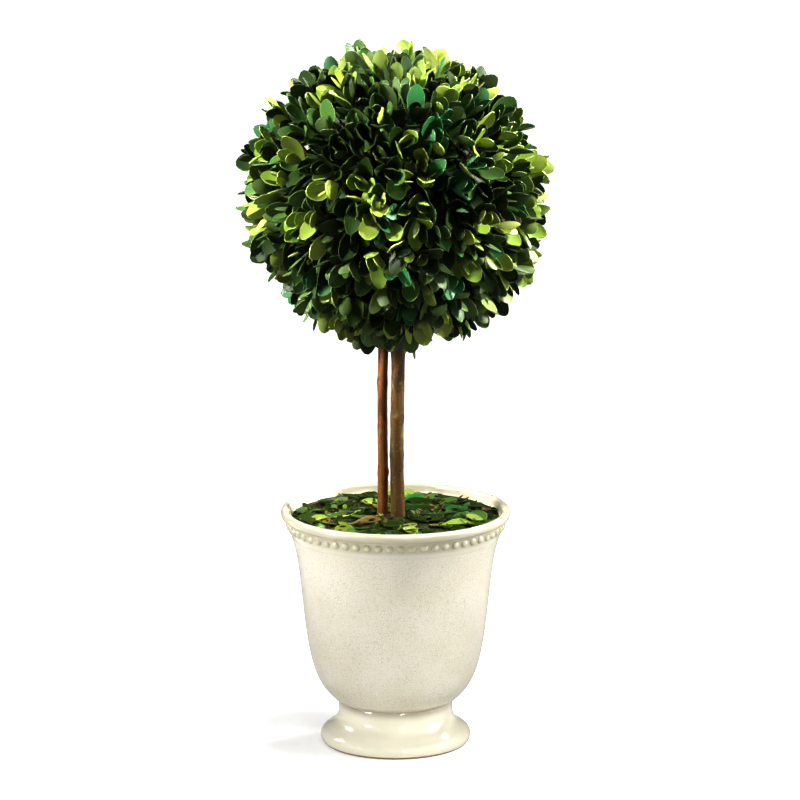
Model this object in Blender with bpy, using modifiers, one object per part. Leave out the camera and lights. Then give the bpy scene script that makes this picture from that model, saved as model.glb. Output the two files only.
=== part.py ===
"""Lollipop topiary: a clipped ball of box foliage on two bare stems, in a footed glazed pot.

Units are metres and +Z is up. The origin is the centre of the pot's flat underside.
Every sub-part is one closed solid: the pot, its filling, the leaf litter, the two stems
and the clipped crown. Neighbours keep a small clearance and touch nowhere.
"""

import math
import random

import bmesh
import bpy
from mathutils import Matrix, Vector, noise
from mathutils.bvhtree import BVHTree

MM = 0.001
CLEARANCE = 0.3 * MM  # gap between neighbouring solids
MERGE = 0.01 * MM  # vertices closer than this are one

# Pot: a bell-shaped bowl on a short neck and a flared foot.
POT_STEPS = 60
BOWL_STEPS = (3, 5)  # rings on the bowl's upper and lower curve
INNER_STEPS = (3, 2)
WALL = 5.2 * MM
RIM_RADIUS = 80.0 * MM  # middle of the rolled rim
RIM_HEIGHT = 171.1 * MM
RIM_ROLL = 3.0 * MM
LIP_DEPTH = 3.9 * MM  # how far the rim's outer lip hangs below the roll's middle
BEAD_BAND_TOP = (78.9 * MM, 167.0 * MM)  # radius and height just under the lip
BOWL_TOP = (77.4 * MM, 160.2 * MM)
BOWL_MIDDLE = (66.7 * MM, 98.7 * MM)
CREASE = (41.8 * MM, 31.5 * MM)  # where the bowl meets the neck
NECK = (41.5 * MM, 22.5 * MM)
FOOT_SHOULDER = (49.5 * MM, 12.2 * MM)
FOOT_RADIUS = 54.5 * MM
FOOT_EDGE = (3.6 * MM, 5.8 * MM)  # depth and height of the foot's rounded edge
FLOOR_HEIGHT = 37.0 * MM  # inside the bowl
FLOOR_CURVE_TOP = 53.0 * MM  # where the inside's wall turns into its floor
BEAD_COUNT = 60
BEAD_RADIUS = 2.9 * MM
BEAD_RING_RADIUS = 77.4 * MM
BEAD_HEIGHT = 162.8 * MM

# Filling: a plug that the stems stand on, under a mound of moss and fallen leaves.
FILLING_TOP = 160.0 * MM
FILLING_STEPS = 30
LITTER_EDGE_HEIGHT = 167.6 * MM
LITTER_MOUND = 3.4 * MM  # how much higher the mound is at the stems
LITTER_BUMP = 0.9 * MM
LITTER_BUMP_SIZE = 9.0 * MM
LITTER_LEAVES = 26
LITTER_LEAF_LENGTH = 22.0 * MM

# Stems: foot and tip of each centre line, and the radii there.
STEM_SIDES = 10
STEM_RINGS = 13
STEM_BOW = 0.8 * MM
STEM_TWIST = 5.0  # radians that the bow turns through on its way up
STEM_FLARE = 1.10  # the foot is this much thicker than the stem above it
STEM_FLARE_HEIGHT = 14.0 * MM
STEMS = {
    "stem_left": {
        "foot": (-9.4 * MM, 1.0 * MM),
        "tip": (-8.0 * MM, 1.5 * MM),
        "radii": (4.0 * MM, 3.7 * MM),
        "knots": (0.22, 0.58, 0.83),
        "phase": 0.4,
        "colour": (0.23, 0.085, 0.035),
    },
    "stem_right": {
        "foot": (1.7 * MM, -6.5 * MM),
        "tip": (1.1 * MM, -3.0 * MM),
        "radii": (5.2 * MM, 4.9 * MM),
        "knots": (0.30, 0.45, 0.71),
        "phase": 2.1,
        "colour": (0.20, 0.105, 0.035),
    },
}
KNOT_SWELL = 0.07
KNOT_LENGTH = 4.0 * MM
SOCKET_DEPTH = 12.0 * MM  # how far a stem runs up into the crown's core
GUARD_FOOT = 3.0 * MM  # how far a cutter round a stem starts below it

# Crown: a core that leafy sprigs stand out of, clipped to a ball.
CROWN_CENTRE = Vector((0.0, 0.0, 402.0 * MM))
CROWN_REACH = 107.5 * MM  # leaf tips, on average
CORE_RADIUS = 71.0 * MM
CROWN_SEED = 11
SPRIG_COUNT = 83
SPRIG_JITTER = 0.04
SPRIG_LEAN = math.radians(9.0)
TWIG_ROOT_DEPTH = 7.0 * MM  # how far a twig's root is sunk in the core
TWIG_RADII = (1.5 * MM, 0.8 * MM)
LEAF_LENGTH = 28.0 * MM
LEAF_WIDTH = 0.58  # share of its length
LEAF_THICKNESS = 0.042
LEAF_CUP = 0.05
LEAF_BELLY = 0.56  # how far along the leaf its middle lies
LEAF_SHOULDER = 0.53  # power that moves the leaf's broadest place up towards its tip
# Each whorl: how far below the twig's tip, its leaves' splay from the twig, and how many.
WHORLS = ((5.5 * MM, math.radians(62.0), 2), (2.5 * MM, math.radians(36.0), 2), (0.0, 0.1, 1))
TURNS_TRIED = (0.0, 22.0, -22.0, 44.0, -44.0, 66.0)  # degrees, to clear the leaves before
# Swells and hollows of the clipped outline: azimuth, elevation, share of the reach.
SWELLS = (
    (180, 45, 0.035),
    (180, 12, 0.030),
    (180, -48, -0.030),
    (0, 43, -0.050),
    (0, 2, -0.045),
    (0, -48, 0.035),
    (0, -86, 0.020),
    (-90, 25, 0.020),
    (90, -15, 0.020),
    (95, 50, -0.020),
)
SWELL_SHARPNESS = 7
# Sprigs the shears missed, which stand furthest out: azimuth, elevation, share of the reach.
STRAYS = (
    (178, 17, 1.105),
    (172, 3, 1.05),
    (-2, 16, 1.075),
    (4, 8, 1.06),
    (-93, 84, 1.035),
    (20, 85, 1.02),
    (-118, -67, 1.05),
    (12, -38, 1.03),
    (88, -12, 1.05),
    (101, 24, 1.04),
)
STRAY_ROOM = math.cos(math.radians(9.0))  # a stray sprig takes the place of any this near


def remove_start_objects():
    for item in list(bpy.data.objects):
        bpy.data.objects.remove(item)


def new_collection(name):
    collection = bpy.data.collections.new(name)
    bpy.context.scene.collection.children.link(collection)
    return collection


def new_object(name, mesh, collection):
    made = bpy.data.objects.new(name, mesh)
    collection.objects.link(made)
    return made


def new_material(name, colour, roughness):
    material = bpy.data.materials.new(name)
    material.use_nodes = True
    shader = material.node_tree.nodes["Principled BSDF"]
    shader.inputs["Base Color"].default_value = (*colour, 1.0)
    shader.inputs["Roughness"].default_value = roughness
    shader.inputs["Metallic"].default_value = 0.0
    return material


def mesh_from(name, shape):
    mesh = bpy.data.meshes.new(name)
    shape.to_mesh(mesh)
    shape.free()
    return mesh


def applied(item):
    """Replaces an object's mesh by the evaluated one and clears its modifiers."""
    bpy.context.view_layer.update()
    graph = bpy.context.evaluated_depsgraph_get()
    mesh = bpy.data.meshes.new_from_object(item.evaluated_get(graph))
    item.modifiers.clear()
    item.data = mesh


def smooth(item, sharp_degrees=40.0):
    item.data.shade_smooth()
    item.data.set_sharp_from_angle(angle=math.radians(sharp_degrees))


def combine(item, operation, others, solver="EXACT"):
    """Applies one Boolean with a collection and removes the collection's objects."""
    boolean = item.modifiers.new(operation.lower(), "BOOLEAN")
    boolean.operation = operation
    boolean.operand_type = "COLLECTION"
    boolean.collection = others
    boolean.solver = solver
    applied(item)
    for other in list(others.objects):
        bpy.data.objects.remove(other)


def keep_outer_skin(item):
    """Deletes every island of faces but the largest: the skins of sealed hollows, and loose scraps."""
    shape = bmesh.new()
    shape.from_mesh(item.data)
    unseen = set(shape.faces)
    islands = []
    while unseen:
        start = unseen.pop()
        island, edge_of_island = [start], [start]
        while edge_of_island:
            face = edge_of_island.pop()
            for neighbour in (f for e in face.edges for f in e.link_faces):
                if neighbour in unseen:
                    unseen.discard(neighbour)
                    island.append(neighbour)
                    edge_of_island.append(neighbour)
        islands.append(island)
    islands.sort(key=len)
    for island in islands[:-1]:
        bmesh.ops.delete(shape, geom=island, context="FACES")
    shape.to_mesh(item.data)
    shape.free()


def arc(centre, radii, start, end, steps):
    """Points on an ellipse's arc, angles in degrees, both ends included."""
    angles = (math.radians(start + (end - start) * i / steps) for i in range(steps + 1))
    return [(centre[0] + radii[0] * math.cos(a), centre[1] + radii[1] * math.sin(a)) for a in angles]


def bezier(start, handle_a, handle_b, end, steps):
    """Points on a cubic curve, its start left out."""
    points = []
    for i in range(1, steps + 1):
        t = i / steps
        s = 1 - t
        weights = (s**3, 3 * s * s * t, 3 * s * t * t, t**3)
        corners = (start, handle_a, handle_b, end)
        points.append(tuple(sum(w * c[k] for w, c in zip(weights, corners)) for k in (0, 1)))
    return points


def turned(name, outline, steps, collection):
    """A solid turned about Z from (radius, height) points that run down its outer side."""
    shape = bmesh.new()
    corners = [shape.verts.new((radius, 0.0, height)) for radius, height in outline]
    for first, second in zip(corners, corners[1:]):
        shape.edges.new((first, second))
    item = new_object(name, mesh_from(name, shape), collection)
    screw = item.modifiers.new("turn", "SCREW")
    screw.axis = "Z"
    screw.steps = steps
    screw.render_steps = steps
    screw.use_merge_vertices = True
    screw.merge_threshold = MERGE
    applied(item)
    return item


def bowl_outline(steps):
    """The bowl's outer side from under the beads down to the crease."""
    upper = bezier(BOWL_TOP, (70.6 * MM, 143.0 * MM), (69.4 * MM, 126.0 * MM), BOWL_MIDDLE, steps[0])
    lower = bezier(BOWL_MIDDLE, (61.7 * MM, 52.8 * MM), (56.5 * MM, 43.5 * MM), CREASE, steps[1])
    return [BOWL_TOP, *upper, *lower]


def inner_outline(gap):
    """The inside of the bowl, from the floor's centre up the wall, moved inwards by a gap."""
    wall = [(r - WALL, z) for r, z in bowl_outline(INNER_STEPS) if z > FLOOR_CURVE_TOP]
    wall.reverse()
    turn = bezier((0.0, FLOOR_HEIGHT), (34.0 * MM, FLOOR_HEIGHT), (46.0 * MM, 42.0 * MM), wall[0], 3)
    turn.insert(0, (0.0, FLOOR_HEIGHT))
    return [(max(0.0, r - gap), z + gap * (z < wall[0][1])) for r, z in turn + wall[1:]]


def wall_radius(height):
    """The radius of the bowl's inside between its top and the rim's roll."""
    low = (BOWL_TOP[0] - WALL, BOWL_TOP[1])
    high = (RIM_RADIUS - RIM_ROLL, RIM_HEIGHT)
    share = (height - low[1]) / (high[1] - low[1])
    return low[0] + share * (high[0] - low[0])


def make_pot(collection):
    rim = arc((RIM_RADIUS, RIM_HEIGHT), (RIM_ROLL, RIM_ROLL), 180, 0, 4)
    lip = arc((RIM_RADIUS, RIM_HEIGHT), (RIM_ROLL, LIP_DEPTH), 0, -90, 3)[1:]
    edge_top = (FOOT_RADIUS, FOOT_EDGE[1])
    foot = [
        NECK,
        *bezier(NECK, (42.2 * MM, 17.6 * MM), (45.2 * MM, 14.4 * MM), FOOT_SHOULDER, 2),
        *bezier(FOOT_SHOULDER, (52.0 * MM, 10.9 * MM), (54.5 * MM, 8.6 * MM), edge_top, 2),
        *arc((FOOT_RADIUS - FOOT_EDGE[0], FOOT_EDGE[1]), FOOT_EDGE, 0, -90, 3)[1:],
        (0.0, 0.0),
    ]
    outline = inner_outline(0.0) + rim + lip + [BEAD_BAND_TOP] + bowl_outline(BOWL_STEPS) + foot
    pot = turned("pot", outline, POT_STEPS, collection)
    beads = new_collection("beads")
    for i in range(BEAD_COUNT):
        shape = bmesh.new()
        bmesh.ops.create_uvsphere(shape, u_segments=5, v_segments=3, radius=BEAD_RADIUS)
        place = Matrix.Rotation(math.tau * (i + 0.5) / BEAD_COUNT, 4, "Z")
        place @= Matrix.Translation((BEAD_RING_RADIUS, 0.0, BEAD_HEIGHT))
        place @= Matrix.Rotation(math.pi / 2, 4, "Y")
        bmesh.ops.transform(shape, matrix=place, verts=shape.verts)
        new_object(f"bead_{i}", mesh_from("bead", shape), beads)
    combine(pot, "UNION", beads)
    bpy.data.collections.remove(beads)
    pot.data.materials.append(new_material("cream_glaze", (0.80, 0.76, 0.62), 0.18))
    smooth(pot)


def make_filling(collection):
    outline = [(r, z) for r, z in inner_outline(CLEARANCE) if z < FILLING_TOP]
    outline.append((wall_radius(FILLING_TOP) - CLEARANCE, FILLING_TOP))
    outline.append((0.0, FILLING_TOP))
    outline.reverse()
    filling = turned("pot_filling", outline, FILLING_STEPS, collection)
    filling.data.materials.append(new_material("dry_foam", (0.09, 0.075, 0.04), 0.95))
    smooth(filling)


def stem_line(stem):
    """A stem's centre line and radii, from its flat cut on the filling up into the crown's core."""
    foot = Vector((*stem["foot"], FILLING_TOP + CLEARANCE))
    core_foot = CROWN_CENTRE.z - math.sqrt(CORE_RADIUS**2 - math.hypot(*stem["tip"]) ** 2)
    tip = Vector((*stem["tip"], core_foot + SOCKET_DEPTH))
    length = (tip - foot).length
    points, radii = [], []
    for i in range(STEM_RINGS):
        t = i / (STEM_RINGS - 1)
        sway = STEM_BOW * math.sin(math.pi * t)
        angle = stem["phase"] + STEM_TWIST * t
        points.append(foot.lerp(tip, t) + Vector((sway * math.cos(angle), sway * math.sin(angle), 0.0)))
        radius = stem["radii"][0] + t * (stem["radii"][1] - stem["radii"][0])
        flare = (STEM_FLARE - 1) * math.exp(-t * length / STEM_FLARE_HEIGHT)
        knots = sum(math.exp(-(((t - k) * length / KNOT_LENGTH) ** 2)) for k in stem["knots"])
        radii.append(radius * (1 + flare + KNOT_SWELL * min(1.0, knots)))
    return points, radii


def tube_mesh(name, points, radii):
    """A closed tube along a poly curve, with welded flat caps."""
    curve = bpy.data.curves.new(name, "CURVE")
    curve.dimensions = "3D"
    curve.bevel_depth = 1.0
    curve.bevel_resolution = (STEM_SIDES - 4) // 2
    curve.use_fill_caps = True
    spline = curve.splines.new("POLY")
    spline.points.add(len(points) - 1)
    for target, point, radius in zip(spline.points, points, radii):
        target.co = (*point, 1.0)
        target.radius = radius
    guide = new_object(name, curve, bpy.context.scene.collection)
    bpy.context.view_layer.update()
    graph = bpy.context.evaluated_depsgraph_get()
    mesh = bpy.data.meshes.new_from_object(guide.evaluated_get(graph))
    bpy.data.objects.remove(guide)
    shape = bmesh.new()
    shape.from_mesh(mesh)
    bmesh.ops.remove_doubles(shape, verts=shape.verts, dist=MERGE)
    shape.to_mesh(mesh)
    shape.free()
    return mesh


def make_stem(name, collection):
    stem = STEMS[name]
    item = new_object(name, tube_mesh(name, *stem_line(stem)), collection)
    item.data.materials.append(new_material(name + "_bark", stem["colour"], 0.6))
    smooth(item, 60.0)


def stem_guard(name, gap):
    """The mesh of a stem grown by a gap and carried on past its ends, which foliage keeps clear of."""
    points, radii = stem_line(STEMS[name])
    down = (points[0] - points[1]).normalized()
    up = (points[-1] - points[-2]).normalized()
    points = [points[0] + down * GUARD_FOOT, *points[1:-1], points[-1] + up * gap]
    return tube_mesh(name + "_guard", points, [radius + gap for radius in radii])


def cut_round_stems(item):
    """Cuts the stems' places out of a leafy solid."""
    cutters = new_collection("cutters")
    for name in STEMS:
        cutter = new_object(name + "_cutter", stem_guard(name, CLEARANCE), cutters)
        cutter.hide_render = True
        cutter.display_type = "WIRE"
    combine(item, "DIFFERENCE", cutters, "MANIFOLD")
    bpy.data.collections.remove(cutters)
    keep_outer_skin(item)


def tree_of(mesh):
    return BVHTree.FromPolygons([v.co for v in mesh.vertices], [p.vertices for p in mesh.polygons])


def leaf_shape(length):
    """A spatulate leaf along +Y from the origin, cupped towards +Z, broadest past its middle."""
    shape = bmesh.new()
    bmesh.ops.create_uvsphere(shape, u_segments=5, v_segments=2, radius=1.0)
    foot = max(v.co.y for v in shape.verts)
    tip = min(v.co.y for v in shape.verts)
    side = max(v.co.x for v in shape.verts)
    for vertex in shape.verts:
        x, y, z = vertex.co
        if abs(z) > 0.5:
            height = math.copysign(LEAF_THICKNESS / 2, z) - LEAF_CUP
            vertex.co = (0.0, LEAF_BELLY * length, height * length)
        else:
            along = ((foot - y) / (foot - tip)) ** LEAF_SHOULDER
            vertex.co = (-x / side * LEAF_WIDTH * length / 2, along * length, 0.0)
    return shape


def fibonacci_direction(index, count):
    """The direction of one of count points spread evenly over a sphere."""
    height = 1 - 2 * (index + 0.5) / count
    ring = math.sqrt(1 - height * height)
    turn = index * math.pi * (3 - math.sqrt(5))
    return Vector((ring * math.cos(turn), ring * math.sin(turn), height))


def direction_of(azimuth, elevation):
    azimuth, elevation = math.radians(azimuth), math.radians(elevation)
    flat = math.cos(elevation)
    return Vector((flat * math.cos(azimuth), flat * math.sin(azimuth), math.sin(elevation)))


def crown_reach(direction):
    """How far the clipped crown reaches in a direction."""
    swell = 0.0
    for azimuth, elevation, amount in SWELLS:
        swell += amount * max(0.0, direction.dot(direction_of(azimuth, elevation))) ** SWELL_SHARPNESS
    return CROWN_REACH * (1 + swell)


def sprig_axes(rng):
    """Every sprig's direction from the crown's centre, its reach and the way it leans."""
    axes = []
    for azimuth, elevation, share in STRAYS:
        axes.append((direction_of(azimuth, elevation), CROWN_REACH * share, 0.0))
    for index in range(SPRIG_COUNT):
        jitter = Vector([rng.gauss(0.0, SPRIG_JITTER) for _ in range(3)])
        direction = (fibonacci_direction(index, SPRIG_COUNT) + jitter).normalized()
        if all(direction.dot(stray) < STRAY_ROOM for stray, _, _ in axes[: len(STRAYS)]):
            axes.append((direction, crown_reach(direction) * rng.uniform(0.955, 1.0), SPRIG_LEAN))
    return axes


def grow_sprig(number, axis, rng, placed, guards, foliage):
    """Adds one sprig: a three-sided twig rooted in the core, with whorls of leaves up to its tip."""
    direction, reach, lean = axis
    spin = Matrix.Rotation(rng.uniform(0.0, math.tau), 4, "Z")
    tilt = Matrix.Rotation(rng.uniform(-lean, lean), 4, "X")
    stand = direction.to_track_quat("Z", "Y").to_matrix().to_4x4() @ spin
    twig_tip = reach - LEAF_LENGTH
    root = CORE_RADIUS - TWIG_ROOT_DEPTH
    shape = bmesh.new()
    bmesh.ops.create_cone(
        shape, segments=3, cap_ends=True, radius1=TWIG_RADII[0], radius2=TWIG_RADII[1],
        depth=twig_tip - root + MM,
    )
    middle = Matrix.Translation(CROWN_CENTRE + direction * (root + twig_tip + MM) / 2)
    bmesh.ops.transform(shape, matrix=middle @ stand, verts=shape.verts)
    mesh = mesh_from("twig", shape)
    tree = tree_of(mesh)
    if any(tree.overlap(guard) for guard in guards):
        return
    new_object(f"twig_{number}", mesh, foliage)
    turn = 0.0
    for whorl, (below, splay, leaves) in enumerate(WHORLS):
        turn += math.pi / 2
        for leaf in range(leaves):
            length = LEAF_LENGTH * (rng.uniform(0.86, 1.06) if splay > 0.2 else 1.0)
            spread = splay * rng.uniform(0.85, 1.15)
            seat = Matrix.Translation(CROWN_CENTRE + direction * (twig_tip - below))
            for extra in TURNS_TRIED:
                yaw = turn + math.tau * leaf / leaves + math.radians(extra)
                pose = seat @ stand @ tilt @ Matrix.Rotation(yaw, 4, "Z")
                pose @= Matrix.Rotation(math.pi / 2 - spread, 4, "X")
                shape = leaf_shape(length)
                bmesh.ops.transform(shape, matrix=pose, verts=shape.verts)
                mesh = mesh_from("leaf", shape)
                tree = tree_of(mesh)
                centre = pose @ Vector((0.0, length / 2, 0.0))
                near = [t for n, c, t in placed if n != number and (c - centre).length < LEAF_LENGTH]
                if not any(tree.overlap(other) for other in near + guards):
                    new_object(f"leaf_{number}_{whorl}_{leaf}", mesh, foliage)
                    placed.append((number, centre, tree))
                    break


def make_crown(collection):
    rng = random.Random(CROWN_SEED)
    shape = bmesh.new()
    bmesh.ops.create_icosphere(shape, subdivisions=2, radius=CORE_RADIUS)
    bmesh.ops.translate(shape, vec=CROWN_CENTRE, verts=shape.verts)
    crown = new_object("crown_ball", mesh_from("crown_ball", shape), collection)
    guards = [tree_of(stem_guard(name, 3 * CLEARANCE)) for name in STEMS]
    foliage = new_collection("foliage")
    placed = []
    for number, axis in enumerate(sprig_axes(rng)):
        grow_sprig(number, axis, rng, placed, guards, foliage)
    combine(crown, "UNION", foliage, "MANIFOLD")
    bpy.data.collections.remove(foliage)
    cut_round_stems(crown)
    crown.data.materials.append(new_material("box_leaf", (0.045, 0.11, 0.025), 0.45))
    smooth(crown, 25.0)


def make_litter(collection):
    rng = random.Random(CROWN_SEED + 1)
    edge_radius = wall_radius(LITTER_EDGE_HEIGHT) - CLEARANCE
    top = LITTER_EDGE_HEIGHT + LITTER_MOUND
    mound = bezier((0.0, top), (26.0 * MM, top), (50.0 * MM, 169.0 * MM), (edge_radius, LITTER_EDGE_HEIGHT), 6)
    bottom = FILLING_TOP + CLEARANCE
    outline = [(0.0, top), *mound, (wall_radius(bottom) - CLEARANCE, bottom), (0.0, bottom)]
    litter = turned("leaf_litter", outline, FILLING_STEPS, collection)
    for vertex in litter.data.vertices:
        if vertex.co.z > bottom + MM and vertex.co.xy.length < edge_radius - MM:
            vertex.co.z += LITTER_BUMP * noise.noise(vertex.co / LITTER_BUMP_SIZE)
    guards = [tree_of(stem_guard(name, CLEARANCE)) for name in STEMS]
    fallen = new_collection("fallen")
    for i in range(LITTER_LEAVES):
        radius = edge_radius * 0.86 * math.sqrt((i + 0.5) / LITTER_LEAVES)
        angle = i * math.pi * (3 - math.sqrt(5))
        length = LITTER_LEAF_LENGTH * rng.uniform(0.85, 1.1)
        height = LITTER_EDGE_HEIGHT + LITTER_MOUND * (1 - (radius / edge_radius) ** 2)
        pose = Matrix.Translation((radius * math.cos(angle), radius * math.sin(angle), height + 0.4 * MM))
        pose @= Matrix.Rotation(rng.uniform(0.0, math.tau), 4, "Z")
        pose @= Matrix.Rotation(math.radians(rng.uniform(-6.0, 22.0)), 4, "X")
        pose @= Matrix.Rotation(math.radians(rng.uniform(-18.0, 18.0)), 4, "Y")
        pose @= Matrix.Translation((0.0, -length / 2, 0.0))
        shape = leaf_shape(length)
        bmesh.ops.transform(shape, matrix=pose, verts=shape.verts)
        mesh = mesh_from("fallen_leaf", shape)
        inside = all(v.co.xy.length < wall_radius(v.co.z) - CLEARANCE for v in mesh.vertices)
        high_enough = all(v.co.z > bottom + MM for v in mesh.vertices)
        tree = tree_of(mesh)
        if inside and high_enough and not any(tree.overlap(guard) for guard in guards):
            new_object(f"fallen_{i}", mesh, fallen)
    combine(litter, "UNION", fallen, "MANIFOLD")
    bpy.data.collections.remove(fallen)
    cut_round_stems(litter)
    litter.data.materials.append(new_material("moss_and_leaves", (0.06, 0.10, 0.025), 0.8))
    smooth(litter, 25.0)


def main():
    remove_start_objects()
    topiary = new_collection("lollipop_topiary")
    make_pot(topiary)
    make_filling(topiary)
    make_litter(topiary)
    for name in STEMS:
        make_stem(name, topiary)
    make_crown(topiary)


main()
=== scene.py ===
"""Looks of a tabletop lollipop topiary: a clipped ball of box foliage on two bare stems in a
footed, crackle-glazed pot.

Units are metres and +Z is up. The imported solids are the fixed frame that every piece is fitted
to. Each sub-assembly is a class that holds its sizes and builds and dresses its own pieces.
"""

import itertools
import logging
import math
import random
from dataclasses import dataclass, field
from enum import Enum
from typing import Callable

import bmesh
import bpy
import numpy as np
from mathutils import Matrix, Vector, noise
from mathutils.bvhtree import BVHTree

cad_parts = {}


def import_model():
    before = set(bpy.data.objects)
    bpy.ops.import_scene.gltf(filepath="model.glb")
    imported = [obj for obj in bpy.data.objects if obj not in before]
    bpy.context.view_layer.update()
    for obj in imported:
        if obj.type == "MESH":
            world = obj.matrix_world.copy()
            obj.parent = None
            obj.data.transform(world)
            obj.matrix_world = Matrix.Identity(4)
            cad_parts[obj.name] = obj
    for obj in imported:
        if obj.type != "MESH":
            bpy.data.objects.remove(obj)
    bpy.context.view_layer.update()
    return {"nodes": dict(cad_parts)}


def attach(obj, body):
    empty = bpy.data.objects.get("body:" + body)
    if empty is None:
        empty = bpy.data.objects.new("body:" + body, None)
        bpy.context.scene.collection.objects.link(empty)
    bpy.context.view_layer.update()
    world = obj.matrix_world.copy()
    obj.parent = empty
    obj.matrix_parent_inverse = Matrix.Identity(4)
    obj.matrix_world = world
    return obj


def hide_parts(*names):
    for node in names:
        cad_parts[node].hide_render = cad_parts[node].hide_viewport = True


LOG = logging.getLogger("topiary")
MM = 0.001
MERGE = 0.01 * MM  # vertices closer than this are one
GOLDEN_TURN = math.pi * (3 - math.sqrt(5))  # spreads points evenly over a disc or a sphere
LEAF_FOLD = 35.0  # degrees; a smoothed leaf keeps its edges that are sharper than this
SMOOTH_FOLD = 50.0  # the same for the pot and the stems
ROUGH_FOLD = 60.0  # the same for the moss, the core and the twigs

Colour = tuple[float, float, float]
Point2 = tuple[float, float]
Point3 = tuple[float, float, float]
Span = tuple[float, float]  # where a stretch of values begins and ends
Socket = bpy.types.NodeSocket

NOISE_SPAN: Span = (0.3, 0.7)  # holds most values of a noise


# ---------------------------------------------------------------------------------------------
# Bench: the small modelling moves that every sub-assembly uses
# ---------------------------------------------------------------------------------------------


def deselect_all() -> None:
    """Leaves nothing selected."""
    for item in bpy.context.selected_objects:
        item.select_set(False)


def take(item: bpy.types.Object) -> None:
    """Makes an object the only selected one and the active one.

    Args:
        item: The object to take up.
    """
    deselect_all()
    item.select_set(True)
    bpy.context.view_layer.objects.active = item


def begin_edit(item: bpy.types.Object) -> None:
    """Opens an object in edit mode with all of it selected.

    Args:
        item: The object to open.
    """
    take(item)
    bpy.ops.object.mode_set(mode="EDIT")
    bpy.ops.mesh.select_mode(type="VERT")
    bpy.ops.mesh.select_all(action="SELECT")


def end_edit() -> None:
    """Goes back to object mode."""
    bpy.ops.object.mode_set(mode="OBJECT")


def pick(item: bpy.types.Object, wanted: Callable[[Vector], bool]) -> None:
    """Selects the vertices of a mesh in edit mode by their place.

    Args:
        item: The object that is open in edit mode.
        wanted: Says of a vertex's place whether it is selected.
    """
    shape = bmesh.from_edit_mesh(item.data)
    for vertex in shape.verts:
        vertex.select = wanted(vertex.co)
    shape.select_flush(True)
    shape.select_flush(False)
    bmesh.update_edit_mesh(item.data)


def apply_modifier(item: bpy.types.Object, kind: str, **settings: object) -> None:
    """Adds a modifier with its settings and applies it.

    Args:
        item: The object to change.
        kind: The modifier's type.
        settings: Its properties by name.
    """
    take(item)
    modifier = item.modifiers.new(kind.lower(), kind)
    for name, value in settings.items():
        setattr(modifier, name, value)
    bpy.ops.object.modifier_apply(modifier=modifier.name)


def smooth(item: bpy.types.Object, sharp_degrees: float) -> None:
    """Shades an object smooth, with edges sharper than an angle kept.

    Args:
        item: The object to shade.
        sharp_degrees: Edges sharper than this stay sharp.
    """
    take(item)
    bpy.ops.object.shade_smooth_by_angle(angle=math.radians(sharp_degrees))


def arc(centre: Point2, radii: Point2, start: float, end: float, steps: int) -> list[Point2]:
    """Points on an ellipse's arc, both ends included.

    Args:
        centre: The ellipse's middle.
        radii: Its half axes.
        start: The first angle, in degrees.
        end: The last angle, in degrees.
        steps: How many stretches the arc has.

    Returns:
        The points, one more than the steps.
    """
    angles = (math.radians(start + (end - start) * i / steps) for i in range(steps + 1))
    return [(centre[0] + radii[0] * math.cos(a), centre[1] + radii[1] * math.sin(a)) for a in angles]


def bezier(start: Point2, handle_a: Point2, handle_b: Point2, end: Point2, steps: int) -> list[Point2]:
    """Points on a cubic curve, its start left out.

    Args:
        start: Where the curve begins.
        handle_a: The handle of its start.
        handle_b: The handle of its end.
        end: Where it ends.
        steps: How many points to make.

    Returns:
        The points, the last of them the end.
    """
    points = []
    for i in range(1, steps + 1):
        t = i / steps
        s = 1 - t
        weights = (s**3, 3 * s * s * t, 3 * s * t * t, t**3)
        corners = (start, handle_a, handle_b, end)
        points.append(tuple(sum(w * c[k] for w, c in zip(weights, corners)) for k in (0, 1)))
    return points


def turn_outline(name: str, outline: list[Point2], steps: int) -> bpy.types.Object:
    """Turns an outline about Z into a closed solid.

    Args:
        name: The new object's name.
        outline: Radius and height of each point, from pole to pole.
        steps: How many steps make the full turn.

    Returns:
        The turned object.
    """
    deselect_all()
    bpy.ops.mesh.primitive_plane_add(size=MM)
    item = bpy.context.object
    item.name = name
    begin_edit(item)
    bpy.ops.mesh.merge(type="CENTER")
    bpy.ops.transform.translate(value=(outline[0][0], 0.0, outline[0][1]))
    for (r0, z0), (r1, z1) in zip(outline, outline[1:]):
        bpy.ops.mesh.extrude_region_move(TRANSFORM_OT_translate={"value": (r1 - r0, 0.0, z1 - z0)})
    bpy.ops.mesh.select_all(action="SELECT")
    bpy.ops.mesh.spin(steps=steps, angle=math.tau, center=(0, 0, 0), axis=(0, 0, 1))
    bpy.ops.mesh.select_all(action="SELECT")
    bpy.ops.mesh.remove_doubles(threshold=MERGE)
    bpy.ops.mesh.normals_make_consistent(inside=False)
    end_edit()
    return item


def lumps(place: Vector, coarse: float, fine: float, share: float) -> float:
    """How high an uneven surface stands at a place.

    Args:
        place: The place on it.
        coarse: The size of its large lumps.
        fine: The size of its small lumps.
        share: How high the small lumps are against the large ones.

    Returns:
        The height, about -1 to 1.
    """
    return noise.noise(place / coarse) + share * noise.noise(place / fine)


def join(items: list[bpy.types.Object]) -> bpy.types.Object:
    """Joins objects into the first of them.

    Args:
        items: The objects to join.

    Returns:
        The first object, which now holds them all.
    """
    take(items[0])
    for item in items[1:]:
        item.select_set(True)
    bpy.ops.object.join()
    return items[0]


def hand_over(item: bpy.types.Object, slot: str, *nodes: str) -> None:
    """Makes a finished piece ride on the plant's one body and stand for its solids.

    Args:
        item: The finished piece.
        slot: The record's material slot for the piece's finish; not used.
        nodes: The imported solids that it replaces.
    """
    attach(item, "root")
    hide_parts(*nodes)
    LOG.info("%s: %d faces", item.name, len(item.data.polygons))


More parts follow.
